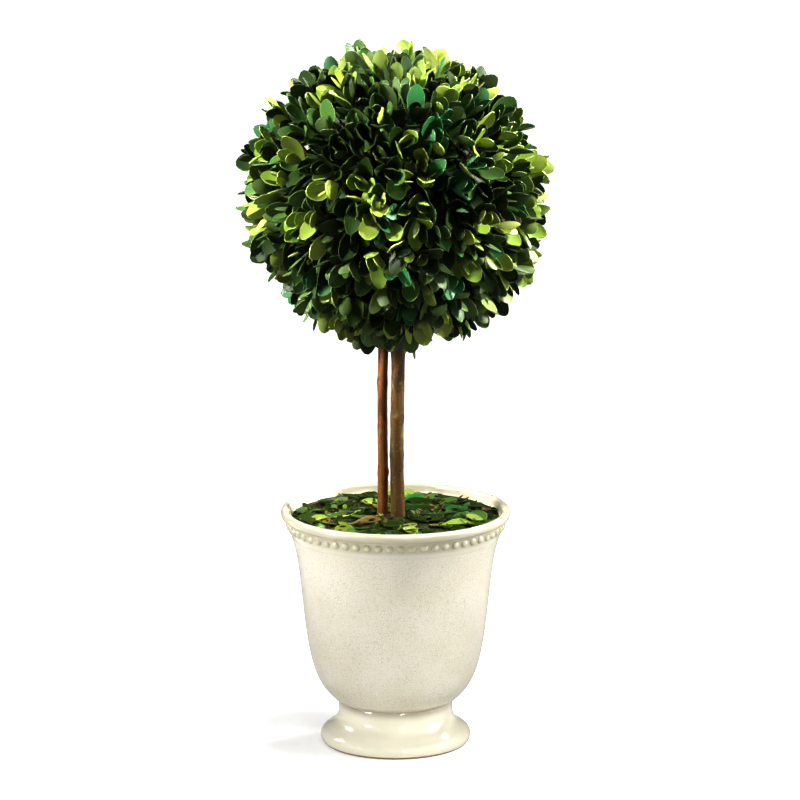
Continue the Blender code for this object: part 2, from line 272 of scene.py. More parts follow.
# ---------------------------------------------------------------------------------------------
# Finishes
# ---------------------------------------------------------------------------------------------


class NodeSheet:
    """The node tree of one material, built round its Principled shader."""

    def __init__(self, name: str) -> None:
        """Starts a material with only its shader and its output."""
        self.material = bpy.data.materials.new(name)
        self.material.use_nodes = True
        self.tree = self.material.node_tree
        self.shader = self.tree.nodes["Principled BSDF"]
        self.place = self.add("ShaderNodeTexCoord").outputs["Object"]

    def add(self, kind: str, inputs: dict | None = None, **settings: object) -> bpy.types.Node:
        """Adds a node.

        Args:
            kind: The node's type.
            inputs: For sockets by name or number, a value or the socket that feeds it.
            settings: The node's own properties by name.

        Returns:
            The new node.
        """
        node = self.tree.nodes.new(kind)
        for name, value in settings.items():
            setattr(node, name, value)
        for key, value in (inputs or {}).items():
            if isinstance(value, Socket):
                self.tree.links.new(value, node.inputs[key])
            else:
                node.inputs[key].default_value = value
        return node

    def constant(self, **values: float) -> None:
        """Sets the shader's own sockets, with _ in their names for a space."""
        for name, value in values.items():
            self.shader.inputs[name.replace("_", " ")].default_value = value

    def feed(self, socket: str, source: Socket) -> None:
        """Links a socket of the shader to its source."""
        self.tree.links.new(source, self.shader.inputs[socket])

    def noise(self, size: float, detail: float = 2.0, stretch: Point3 = (1.0, 1.0, 1.0)) -> Socket:
        """Noise in the piece's own coordinates.

        Args:
            size: How large its lumps are.
            detail: How many finer layers it has.
            stretch: How many times longer the lumps are along each axis.

        Returns:
            The noise's value, about 0.3 to 0.7.
        """
        scale = tuple(1.0 / s for s in stretch)
        place = self.add("ShaderNodeMapping", {"Vector": self.place, "Scale": scale})
        node = self.add(
            "ShaderNodeTexNoise",
            {"Vector": place.outputs["Vector"], "Scale": 1.0 / size, "Detail": detail},
        )
        return node.outputs["Fac"]

    def ramp(
        self, value: Socket, low: float, high: float, start: float = 0.0, end: float = 1.0
    ) -> Socket:
        """Spreads a stretch of values smoothly over another.

        Args:
            value: The socket that is read.
            low: The value that gives start.
            high: The value that gives end.
            start: The result at low.
            end: The result at high.

        Returns:
            The spread value.
        """
        inputs = {"Value": value, "From Min": low, "From Max": high, "To Min": start, "To Max": end}
        return self.add("ShaderNodeMapRange", inputs, interpolation_type="SMOOTHSTEP").outputs["Result"]

    def band(self, value: Socket, rise: Span, fall: Span) -> Socket:
        """One over a stretch of values, and zero well outside it.

        Args:
            value: The socket that is read.
            rise: The values between which the result rises from zero to one.
            fall: The values between which it falls again.

        Returns:
            The band's value.
        """
        return self.times(self.ramp(value, *rise), self.ramp(value, fall[1], fall[0]))

    def mix(self, share: Socket | float, base: Socket | Colour, over: Socket | Colour) -> Socket:
        """Lays one colour over another.

        Args:
            share: How much of the second shows.
            base: The first colour or its socket.
            over: The second colour or its socket.

        Returns:
            The mixed colour.
        """
        base = (*base, 1.0) if isinstance(base, tuple) else base
        over = (*over, 1.0) if isinstance(over, tuple) else over
        node = self.add("ShaderNodeMix", {0: share, 6: base, 7: over}, data_type="RGBA")
        return node.outputs[2]

    def times(self, a: Socket, b: Socket | float) -> Socket:
        """The product of two values."""
        return self.add("ShaderNodeMath", {0: a, 1: b}, operation="MULTIPLY").outputs[0]

    def combine(self, operation: str, a: Socket, b: Socket | Point3) -> Socket:
        """The sum, product or distance of two vectors.

        Args:
            operation: What is done with them, ADD, MULTIPLY or DISTANCE.
            a: The first vector.
            b: The second vector.

        Returns:
            The vector or, for a distance, the number.
        """
        node = self.add("ShaderNodeVectorMath", {0: a, 1: b}, operation=operation)
        return node.outputs["Value" if operation == "DISTANCE" else "Vector"]

    def height(self) -> Socket:
        """The height above the ground, in metres."""
        return self.add("ShaderNodeSeparateXYZ", {0: self.place}).outputs["Z"]

    def radius(self) -> Socket:
        """The distance from the upright middle line, in metres."""
        flat = self.combine("MULTIPLY", self.place, (1.0, 1.0, 0.0))
        return self.add("ShaderNodeVectorMath", {0: flat}, operation="LENGTH").outputs["Value"]

    def bump(self, value: Socket, strength: float, depth: float) -> None:
        """Adds fine relief to the shader.

        Args:
            value: The relief's height.
            strength: How strongly it shows.
            depth: How deep it is, in metres.
        """
        node = self.add("ShaderNodeBump", {"Height": value, "Strength": strength, "Distance": depth})
        self.feed("Normal", node.outputs["Normal"])


@dataclass(frozen=True)
class CrackleGlaze:
    """Cream glaze: finely crazed and satin on the bowl, clear and glossy on the rim and foot."""

    cream: Colour = (0.74, 0.705, 0.60)
    pooled: Colour = (0.71, 0.665, 0.54)  # where the glaze lies thick
    crack: Colour = (0.40, 0.34, 0.24)
    crease_shade: Colour = (0.40, 0.34, 0.23)  # painted shade in the crease over the neck
    thick_glaze_and_shade: Colour = (0.575, 0.54, 0.40)  # on the rim and round its beads: partly the thick glaze's yellower tint, partly painted shade dimming the lit roll
    rim_inner_shade: Colour = (0.405, 0.38, 0.28)  # painted shade on the inside of the rim
    clear: Colour = (0.84, 0.805, 0.65)  # on the foot: partly the thin glaze's paler tint, partly painted light from the floor's bounce
    clay: Colour = (0.38, 0.23, 0.14)  # bare where the foot was wiped

    cell: float = 1.55 * MM
    crack_width: float = 0.14  # share of a cell
    crack_share: float = 0.48  # how far a crack takes its own colour
    crack_depth: float = 0.2 * MM
    wander_size: float = 4.0 * MM  # of the waves that the cracks follow
    wander: float = 1.6 * MM
    crack_relief: float = -0.45
    patch_size: float = 22.0 * MM  # of the patches with fainter cracks
    patch_band: Span = (0.35, 0.62)
    patch_share: Span = (0.75, 1.0)  # how strong cracks are in such a patch, and elsewhere
    pool_size: float = 30.0 * MM
    crease_shade_share: float = 0.75
    shoulder_share: float = 0.35
    roughness: Span = (0.10, 0.30)  # of the rim and foot, and of the bowl
    coat: float = 0.4
    coat_roughness: float = 0.06
    refraction: float = 1.5

    # Heights between which a zone comes in, and between which it goes again
    bowl_rise: Span = (30.0 * MM, 38.0 * MM)
    bowl_fall: Span = (152.0 * MM, 158.0 * MM)
    crease_rise: Span = (26.5 * MM, 31.0 * MM)
    crease_fall: Span = (31.5 * MM, 35.5 * MM)
    shoulder_rise: Span = (12.0 * MM, 15.0 * MM)
    shoulder_fall: Span = (16.0 * MM, 19.0 * MM)
    foot_fall: Span = (24.0 * MM, 28.0 * MM)
    rim_rise: Span = (156.5 * MM, 160.0 * MM)
    rim_inner_shade_rise: Span = (168.0 * MM, 169.5 * MM)
    rim_inner_shade_edge: Span = (80.4 * MM, 82.2 * MM)  # radii between which the painted shade inside the rim ends
    wiped: Span = (1.7 * MM, 2.2 * MM)

    def cracks(self, sheet: NodeSheet) -> Socket:
        """The net of cracks, fainter in patches.

        Args:
            sheet: The glaze's node tree.

        Returns:
            One on a crack and zero between them.
        """
        waves = sheet.add(
            "ShaderNodeTexNoise", {"Vector": sheet.place, "Scale": 1 / self.wander_size, "Detail": 1.0}
        )
        offset = sheet.combine("MULTIPLY", waves.outputs["Color"], (self.wander,) * 3)
        cells = sheet.add(
            "ShaderNodeTexVoronoi",
            {"Vector": sheet.combine("ADD", sheet.place, offset), "Scale": 1 / self.cell},
            feature="DISTANCE_TO_EDGE",
        )
        line = sheet.ramp(cells.outputs["Distance"], 0.0, self.crack_width, 1.0, 0.0)
        patches = sheet.ramp(sheet.noise(self.patch_size), *self.patch_band, *self.patch_share)
        return sheet.times(line, patches)

    def material(self) -> bpy.types.Material:
        """Builds the glaze's node tree.

        Returns:
            The finished material.
        """
        sheet = NodeSheet("crackle_glaze")
        height = sheet.height()
        on_bowl = sheet.band(height, self.bowl_rise, self.bowl_fall)
        cracks = sheet.times(self.cracks(sheet), on_bowl)
        pools = sheet.ramp(sheet.noise(self.pool_size, 3.0), *NOISE_SPAN)
        crease = sheet.band(height, self.crease_rise, self.crease_fall)
        shoulder = sheet.band(height, self.shoulder_rise, self.shoulder_fall)
        on_foot = sheet.ramp(height, self.foot_fall[1], self.foot_fall[0])
        on_rim = sheet.ramp(height, *self.rim_rise)
        inside = sheet.ramp(sheet.radius(), self.rim_inner_shade_edge[1], self.rim_inner_shade_edge[0])
        rim_inner_shade_mask = sheet.times(inside, sheet.ramp(height, *self.rim_inner_shade_rise))
        bare = sheet.ramp(height, self.wiped[1], self.wiped[0])
        base = sheet.mix(pools, self.cream, self.pooled)
        for share, colour in (
            # painted shade darkens the crease over the neck
            (sheet.times(crease, self.crease_shade_share), self.crease_shade),
            # the foot's paler colour is partly painted light from the floor's bounce
            (on_foot, self.clear),
            (sheet.times(shoulder, self.shoulder_share), self.pooled),
            (sheet.times(cracks, self.crack_share), self.crack),
            # the rim's colour is partly painted shade that dims its lit roll
            (on_rim, self.thick_glaze_and_shade),
            # painted shade on the inside of the rim
            (rim_inner_shade_mask, self.rim_inner_shade),
            (bare, self.clay),
        ):
            base = sheet.mix(share, base, colour)
        sheet.feed("Base Color", base)
        sheet.feed("Roughness", sheet.ramp(on_bowl, 0.0, 1.0, *self.roughness))
        sheet.constant(
            Coat_Weight=self.coat, Coat_Roughness=self.coat_roughness, IOR=self.refraction
        )
        sheet.bump(cracks, self.crack_relief, self.crack_depth)
        return sheet.material


@dataclass(frozen=True)
class Bark:
    """Smooth young bark with long streaks, a few pale flecks and greenish patches."""

    name: str
    body: Colour
    warm: Colour
    dark: Colour
    fleck: Colour = (0.18, 0.115, 0.05)
    moss: Colour = (0.10, 0.12, 0.04)
    streak_size: float = 1.6 * MM
    streak_stretch: Point3 = (1.0, 1.0, 14.0)
    streak_band: Span = (0.40, 0.62)  # values of its noise between which a colour comes in
    patch_size: float = 7.0 * MM
    patch_stretch: Point3 = (1.0, 1.0, 3.0)
    patch_band: Span = (0.52, 0.66)
    moss_size: float = 9.0 * MM
    moss_band: Span = (0.60, 0.70)
    fleck_size: float = 1.3 * MM
    fleck_stretch: Point3 = (1.0, 1.0, 1.8)
    fleck_band: Span = (0.72, 0.78)
    cover: float = 0.6  # how far moss and flecks hide the bark under them
    roughness: Span = (0.45, 0.65)
    shine: float = 0.2
    relief: float = 0.35 * MM

    def material(self) -> bpy.types.Material:
        """Builds the bark's node tree.

        Returns:
            The finished material.
        """
        sheet = NodeSheet(self.name)
        streaks = sheet.noise(self.streak_size, 3.0, self.streak_stretch)
        patches = sheet.noise(self.patch_size, 2.0, self.patch_stretch)
        growth = sheet.ramp(sheet.noise(self.moss_size), *self.moss_band)
        flecks = sheet.ramp(sheet.noise(self.fleck_size, 0.0, self.fleck_stretch), *self.fleck_band)
        colour = sheet.mix(sheet.ramp(streaks, *self.streak_band), self.body, self.warm)
        colour = sheet.mix(sheet.ramp(patches, *self.patch_band), colour, self.dark)
        colour = sheet.mix(sheet.times(growth, self.cover), colour, self.moss)
        colour = sheet.mix(sheet.times(flecks, self.cover), colour, self.fleck)
        sheet.constant(Specular_IOR_Level=self.shine)
        sheet.feed("Base Color", colour)
        sheet.feed("Roughness", sheet.ramp(streaks, *NOISE_SPAN, *self.roughness))
        sheet.bump(streaks, 0.5, self.relief)
        return sheet.material


@dataclass(frozen=True)
class Ground:
    """A dull, crumbly finish: moss, peat or foam, in two colours."""

    name: str
    low: Colour
    high: Colour
    grain: float
    coarse_band: Span = (0.35, 0.65)  # values of the coarse noise between the two colours
    roughness: Span = (0.85, 1.0)
    shine: float = 0.05
    relief: float = 0.8

    def material(self) -> bpy.types.Material:
        """Builds the ground's node tree.

        Returns:
            The finished material.
        """
        sheet = NodeSheet(self.name)
        coarse = sheet.noise(self.grain * 3, 3.0)
        fine = sheet.noise(self.grain)
        colour = sheet.mix(sheet.ramp(coarse, *self.coarse_band), self.low, self.high)
        sheet.feed("Base Color", colour)
        sheet.feed("Roughness", sheet.ramp(fine, *NOISE_SPAN, *self.roughness))
        sheet.constant(Specular_IOR_Level=self.shine)
        sheet.bump(fine, self.relief, self.grain / 2)
        return sheet.material


@dataclass(frozen=True)
class LeafTone:
    """The colours of one kind of box leaf: its blade, its pale margin, partly a painted edge highlight, and
    its underside.
    """

    blade: Colour
    margin: Colour
    under: Colour
    gloss: float  # roughness that the three finishes start from


class Tone(Enum):
    """The leaf colours that the sprays are dealt."""

    DEEP = LeafTone((0.010, 0.022, 0.003), (0.040, 0.072, 0.010), (0.018, 0.030, 0.006), 0.40)
    FOREST = LeafTone((0.036, 0.078, 0.015), (0.100, 0.170, 0.032), (0.054, 0.088, 0.023), 0.34)
    MID = LeafTone((0.135, 0.200, 0.026), (0.260, 0.345, 0.052), (0.140, 0.190, 0.038), 0.33)
    BLUE = LeafTone((0.016, 0.088, 0.022), (0.048, 0.165, 0.042), (0.032, 0.095, 0.032), 0.36)
    OLIVE = LeafTone((0.125, 0.160, 0.022), (0.230, 0.270, 0.045), (0.150, 0.180, 0.040), 0.38)
    # BRIGHT and LIME: partly the leaves' own yellow-green, partly painted light shining through them
    BRIGHT = LeafTone((0.205, 0.270, 0.040), (0.400, 0.480, 0.085), (0.270, 0.335, 0.058), 0.34)
    LIME = LeafTone((0.225, 0.285, 0.060), (0.440, 0.510, 0.120), (0.310, 0.370, 0.080), 0.36)
    BROWN = LeafTone((0.105, 0.068, 0.022), (0.190, 0.130, 0.045), (0.140, 0.095, 0.035), 0.45)

    def materials(self, shine: float) -> list[bpy.types.Material]:
        """Builds the three finishes of this tone.

        Args:
            shine: The specular level, lower for dry leaves. The deepest leaves are duller.

        Returns:
            The blade's, the margin's and the underside's material, in the pattern's order.
        """
        tone = self.value
        shine = 0.4 * shine if self is Tone.DEEP else shine
        made = []
        for part, colour, rough in (
            ("blade", tone.blade, tone.gloss + 0.06),
            # the margin's paler colour is partly a painted highlight along the edge
            ("margin", tone.margin, tone.gloss + 0.12),
            ("under", tone.under, tone.gloss + 0.22),
        ):
            sheet = NodeSheet(f"leaf_{self.name.lower()}_{part}")
            sheet.constant(Base_Color=(*colour, 1.0), Roughness=rough, Specular_IOR_Level=shine)
            made.append(sheet.material)
        return made


# ---------------------------------------------------------------------------------------------
# Small things that are modelled once and copied many times
# ---------------------------------------------------------------------------------------------


@dataclass
class Pattern:
    """The arrays of a modelled mesh, ready to be copied."""

    vertices: np.ndarray
    faces: list[tuple[int, ...]]
    finishes: list[int]  # the number of each face's finish

    @classmethod
    def from_object(cls, item: bpy.types.Object) -> "Pattern":
        """Reads an object's mesh and removes the object.

        Args:
            item: The modelled object.

        Returns:
            Its arrays.
        """
        mesh = item.data
        vertices = np.array([v.co for v in mesh.vertices])
        faces = [tuple(p.vertices) for p in mesh.polygons]
        finishes = [p.material_index for p in mesh.polygons]
        bpy.data.objects.remove(item)
        return cls(vertices, faces, finishes)

    def placed(self, pose: Matrix) -> np.ndarray:
        """The vertices moved by a pose."""
        turn = np.array(pose.to_3x3())
        return self.vertices @ turn.T + np.array(pose.translation)


class Gathering:
    """Copies of patterns, gathered and joined into one mesh."""

    def __init__(self, name: str) -> None:
        """Starts an empty gathering."""
        self.name = name
        self.vertices: list[np.ndarray] = []
        self.faces: list[tuple[int, ...]] = []
        self.finishes: list[int] = []
        self.count = 0

    def add(self, pattern: Pattern, vertices: np.ndarray) -> None:
        """Adds one copy.

        Args:
            pattern: What is copied.
            vertices: Its vertices where the copy stands.
        """
        start = self.count
        self.vertices.append(vertices)
        self.faces.extend(tuple(start + corner for corner in face) for face in pattern.faces)
        self.finishes.extend(pattern.finishes)
        self.count += len(vertices)

    def to_object(self, materials: list[bpy.types.Material], sharp_degrees: float) -> bpy.types.Object:
        """Makes the one object of all copies.

        Args:
            materials: The finishes, in the patterns' order.
            sharp_degrees: Edges sharper than this stay sharp.

        Returns:
            The joined object.
        """
        mesh = bpy.data.meshes.new(self.name)
        mesh.from_pydata(np.concatenate(self.vertices).tolist(), [], self.faces)
        for material in materials:
            mesh.materials.append(material)
        mesh.polygons.foreach_set("material_index", self.finishes)
        item = bpy.data.objects.new(self.name, mesh)
        bpy.context.scene.collection.objects.link(item)
        smooth(item, sharp_degrees)
        return item


@dataclass(frozen=True)
class LeafCut:
    """The cut of one box leaf. It lies along +Y from its stalk, with its upper side up."""

    length: float = 25.5 * MM
    width: float = 13.6 * MM
    thickness: float = 0.45 * MM
    fold: float = 0.22  # rise of the edge for each unit out from the midrib
    cup: float = 0.05  # how far the middle sags, as a share of the length
    tip_drop: float = 0.0  # how far the tip bends down, as a share of the length
    margin: float = 0.93  # where the pale margin, partly a painted edge highlight, starts, as a share of the half width
    stalk: float = 0.09  # half width of the stalk, as a share
    stations: tuple[float, ...] = (0.0, 0.09, 0.24, 0.42, 0.60, 0.77, 0.90, 0.975)
    belly: float = 1.50  # above 1 moves the broadest place towards the tip
    fullness: float = 0.72  # below 1 rounds the outline
    near: float = 0.01  # how close to a line of the grid a vertex counts as on it
    aside: float = 10.0  # metres; shaped rows wait this far off, clear of the rest

    def half_width(self, along: float) -> float:
        """The blade's half width at a place along it, as a share of the largest."""
        return max(self.stalk, math.sin(math.pi * along**self.belly) ** self.fullness)

    def rise(self, along: float) -> float:
        """How high the midrib lies at a place along the blade."""
        bowl = -self.cup * math.sin(math.pi * along)
        return self.length * (bowl - self.tip_drop * along**3)

    def pick_columns(self, item: bpy.types.Object, out: float) -> None:
        """Selects the grid's two lines at a distance out from the midrib."""
        pick(item, lambda place: abs(abs(place.x) - out) < self.near)

    def pick_row(self, item: bpy.types.Object, at: float) -> None:
        """Selects the grid's line across the blade at a place on Y."""
        pick(item, lambda place: abs(place.y - at) < self.near)

    def model(self) -> Pattern:
        """Models the leaf from a grid and gives it its thickness.

        Returns:
            Its arrays; finish 0 is the blade, 1 the pale margin with its painted highlight and 2 the
            underside.
        """
        rows = len(self.stations) - 1
        places = [(-1.0 + 2.0 * row / rows, along) for row, along in enumerate(self.stations)]
        deselect_all()
        bpy.ops.mesh.primitive_grid_add(x_subdivisions=4, y_subdivisions=rows, size=2.0)
        item = bpy.context.object
        begin_edit(item)
        self.pick_columns(item, 0.5)
        bpy.ops.transform.resize(value=(2 * self.margin, 1.0, 1.0))
        for out in (1.0, self.margin):
            self.pick_columns(item, out)
            bpy.ops.transform.translate(value=(0.0, 0.0, out * self.fold))
        for row, along in places:
            self.pick_row(item, row)
            share = self.half_width(along) * self.width / 2
            bpy.ops.transform.resize(value=(share, 1.0, share), center_override=(0.0, row, 0.0))
        for row, along in reversed(places):
            self.pick_row(item, row)
            shift = along * self.length - row + self.aside
            bpy.ops.transform.translate(value=(0.0, shift, self.rise(along)))
        bpy.ops.mesh.select_all(action="SELECT")
        bpy.ops.transform.translate(value=(0.0, -self.aside, 0.0))
        end_edit()
        return self.finish(item)

    def finish(self, item: bpy.types.Object) -> Pattern:
        """Thickens the bent blade and deals its faces their finishes.

        Args:
            item: The blade, still one sheet.

        Returns:
            The leaf's arrays.
        """
        for polygon in item.data.polygons:
            across = [abs(item.data.vertices[v].co.x) for v in polygon.vertices]
            polygon.material_index = 0 if min(across) < 0.01 * MM else 1
        for _ in range(3):
            item.data.materials.append(None)
        apply_modifier(
            item, "SOLIDIFY", thickness=self.thickness, offset=-1.0, material_offset=2, material_offset_rim=1
        )
        return Pattern.from_object(item)


class Cut(Enum):
    """The leaf shapes of the plant: five for the spread leaves, two for the shoots' tips."""

    BROAD = LeafCut(length=27.0 * MM, width=14.0 * MM, fold=0.12, cup=0.04)
    PLAIN = LeafCut()
    FOLDED = LeafCut(width=12.4 * MM, fold=0.42)
    SPOON = LeafCut(length=23.0 * MM, fold=0.26, cup=0.11)
    BOWED = LeafCut(length=27.0 * MM, width=12.0 * MM, fold=0.18, cup=-0.04, tip_drop=0.12)
    SLIM = LeafCut(length=22.0 * MM, width=10.4 * MM, fold=0.30, cup=0.06)
    SMALL = LeafCut(length=18.0 * MM, width=11.0 * MM, fold=0.24, cup=0.08)


SPREAD_CUTS = (Cut.BROAD, Cut.PLAIN, Cut.FOLDED, Cut.SPOON, Cut.BOWED)
TIP_CUTS = (Cut.SLIM, Cut.SMALL)


def twig_pattern(sides: int) -> Pattern:
    """Models a tapering twig from (0, 0, 0) to (0, 0, 1), one unit thick at its root.

    Args:
        sides: How many sides it has.

    Returns:
        Its arrays.
    """
    deselect_all()
    bpy.ops.mesh.primitive_cone_add(
        vertices=sides, radius1=1.0, radius2=0.55, depth=1.0, location=(0.0, 0.0, 0.5)
    )
    item = bpy.context.object
    bpy.ops.object.transform_apply(location=True)
    return Pattern.from_object(item)


def twig_between(pattern: Pattern, start: Vector, end: Vector, radius: float) -> np.ndarray:
    """The vertices of a twig that runs from one point to another.

    Args:
        pattern: The unit twig.
        start: Where its root is.
        end: Where its tip is.
        radius: How thick its root is.

    Returns:
        The placed vertices.
    """
    line = end - start
    pose = Matrix.Translation(start) @ line.to_track_quat("Z", "Y").to_matrix().to_4x4()
    return pattern.placed(pose @ Matrix.Diagonal((radius, radius, line.length, 1.0)))


# ---------------------------------------------------------------------------------------------
# Sub-assemblies
# ---------------------------------------------------------------------------------------------


@dataclass
class Pot:
    """The turned pot: rolled rim, ring of beads, bell-shaped bowl, neck and flared foot.

    A place is a radius and a height.
    """

    steps: int = 192
    wall: float = 5.2 * MM
    rim: Point2 = (80.0 * MM, 171.1 * MM)  # the roll's middle
    roll: float = 3.0 * MM
    lip_depth: float = 3.9 * MM
    band_top: Point2 = (78.9 * MM, 167.0 * MM)
    band_foot: Point2 = (77.4 * MM, 160.2 * MM)
    middle: Point2 = (66.7 * MM, 98.7 * MM)
    crease: Point2 = (41.8 * MM, 31.5 * MM)
    neck: Point2 = (41.5 * MM, 22.5 * MM)
    shoulder: Point2 = (49.5 * MM, 12.2 * MM)
    groove: tuple[Point2, ...] = (
        (0.2 * MM, 0.6 * MM),
        (-0.9 * MM, -0.3 * MM),
        (-0.5 * MM, -1.6 * MM),
    )  # round the crease, outwards and upwards from it

    # The two handles of each curve, from the beads down to the foot
    upper_bowl: tuple[Point2, Point2] = ((70.6 * MM, 143.0 * MM), (69.4 * MM, 126.0 * MM))
    lower_bowl: tuple[Point2, Point2] = ((61.7 * MM, 52.8 * MM), (56.5 * MM, 43.5 * MM))
    neck_curve: tuple[Point2, Point2] = ((42.2 * MM, 17.6 * MM), (45.2 * MM, 14.4 * MM))
    foot_curve: tuple[Point2, Point2] = ((52.0 * MM, 10.9 * MM), (54.5 * MM, 8.6 * MM))

    foot_radius: float = 54.5 * MM
    foot_edge: Point2 = (3.6 * MM, 5.8 * MM)  # half axes of its rounded edge
    floor_height: float = 37.0 * MM
    floor_curve: tuple[Point2, Point2] = ((34.0 * MM, 37.0 * MM), (46.0 * MM, 42.0 * MM))
    floor_turn: float = 53.0 * MM  # where the floor's curve meets the wall
    bead_count: int = 60
    bead_radius: float = 2.9 * MM
    bead_ring: Point2 = (77.4 * MM, 162.8 * MM)
    bead_shape: Point3 = (0.8, 1.12, 1.0)  # a little flat, and stretched along the rim

    def bowl(self, upper: int, lower: int) -> list[Point2]:
        """The bowl's outer side from under the beads to the crease.

        Args:
            upper: Steps on the upper curve.
            lower: Steps on the lower curve.

        Returns:
            The points, from the top down.
        """
        top = bezier(self.band_foot, *self.upper_bowl, self.middle, upper)
        foot = bezier(self.middle, *self.lower_bowl, self.crease, lower)
        return [self.band_foot, *top, *foot]

    def inside(self) -> list[Point2]:
        """The inside from the floor's centre up the wall.

        Returns:
            The points, from the middle outwards.
        """
        wall = [(r - self.wall, z) for r, z in self.bowl(3, 2) if z > self.floor_turn]
        wall.reverse()
        floor = (0.0, self.floor_height)
        return [floor, *bezier(floor, *self.floor_curve, wall[0], 3), *wall[1:]]

    def wall_radius(self, height: float) -> float:
        """The inside's radius at a height between the bowl's top and the rim.

        Args:
            height: The height, in metres.

        Returns:
            The radius there.
        """
        low = (self.band_foot[0] - self.wall, self.band_foot[1])
        high = (self.rim[0] - self.roll, self.rim[1])
        return low[0] + (height - low[1]) / (high[1] - low[1]) * (high[0] - low[0])

    def outline(self) -> list[Point2]:
        """The whole outline from the inside's floor over the rim to the underside's centre.

        Returns:
            The points, in order.
        """
        edge_top = (self.foot_radius, self.foot_edge[1])
        edge = (self.foot_radius - self.foot_edge[0], self.foot_edge[1])
        return [
            *self.inside(),
            *arc(self.rim, (self.roll, self.roll), 180, 0, 18),
            *arc(self.rim, (self.roll, self.lip_depth), 0, -90, 12)[1:],
            self.band_top,
            *self.bowl(12, 22)[:-1],
            *((self.crease[0] + out, self.crease[1] + up) for out, up in self.groove),
            self.neck,
            *bezier(self.neck, *self.neck_curve, self.shoulder, 8),
            *bezier(self.shoulder, *self.foot_curve, edge_top, 8),
            *arc(edge, self.foot_edge, 0, -90, 8)[1:],
            (0.0, 0.0),
        ]

    def beads(self) -> list[bpy.types.Object]:
        """Models one bead and copies it round the rim.

        Returns:
            The beads, each with its own mesh.
        """
        deselect_all()
        radius, height = self.bead_ring
        bpy.ops.mesh.primitive_uv_sphere_add(
            segments=12, ring_count=8, radius=self.bead_radius, location=(radius, 0.0, height)
        )
        first = bpy.context.object
        first.scale = self.bead_shape
        bpy.ops.object.transform_apply(location=True, scale=True)
        made = []
        for i in range(self.bead_count):
            copy = bpy.data.objects.new(f"bead_{i}", first.data.copy())
            copy.data.transform(Matrix.Rotation(math.tau * (i + 0.5) / self.bead_count, 4, "Z"))
            bpy.context.scene.collection.objects.link(copy)
            made.append(copy)
        bpy.data.objects.remove(first)
        return made

    def build(self) -> None:
        """Makes the glazed pot with its beads."""
        shell = turn_outline("glazed_pot", self.outline(), self.steps)
        pot = join([shell, *self.beads()])
        pot.data.materials.append(CrackleGlaze().material())
        smooth(pot, SMOOTH_FOLD)
        hand_over(pot, "cream_glaze", "pot")


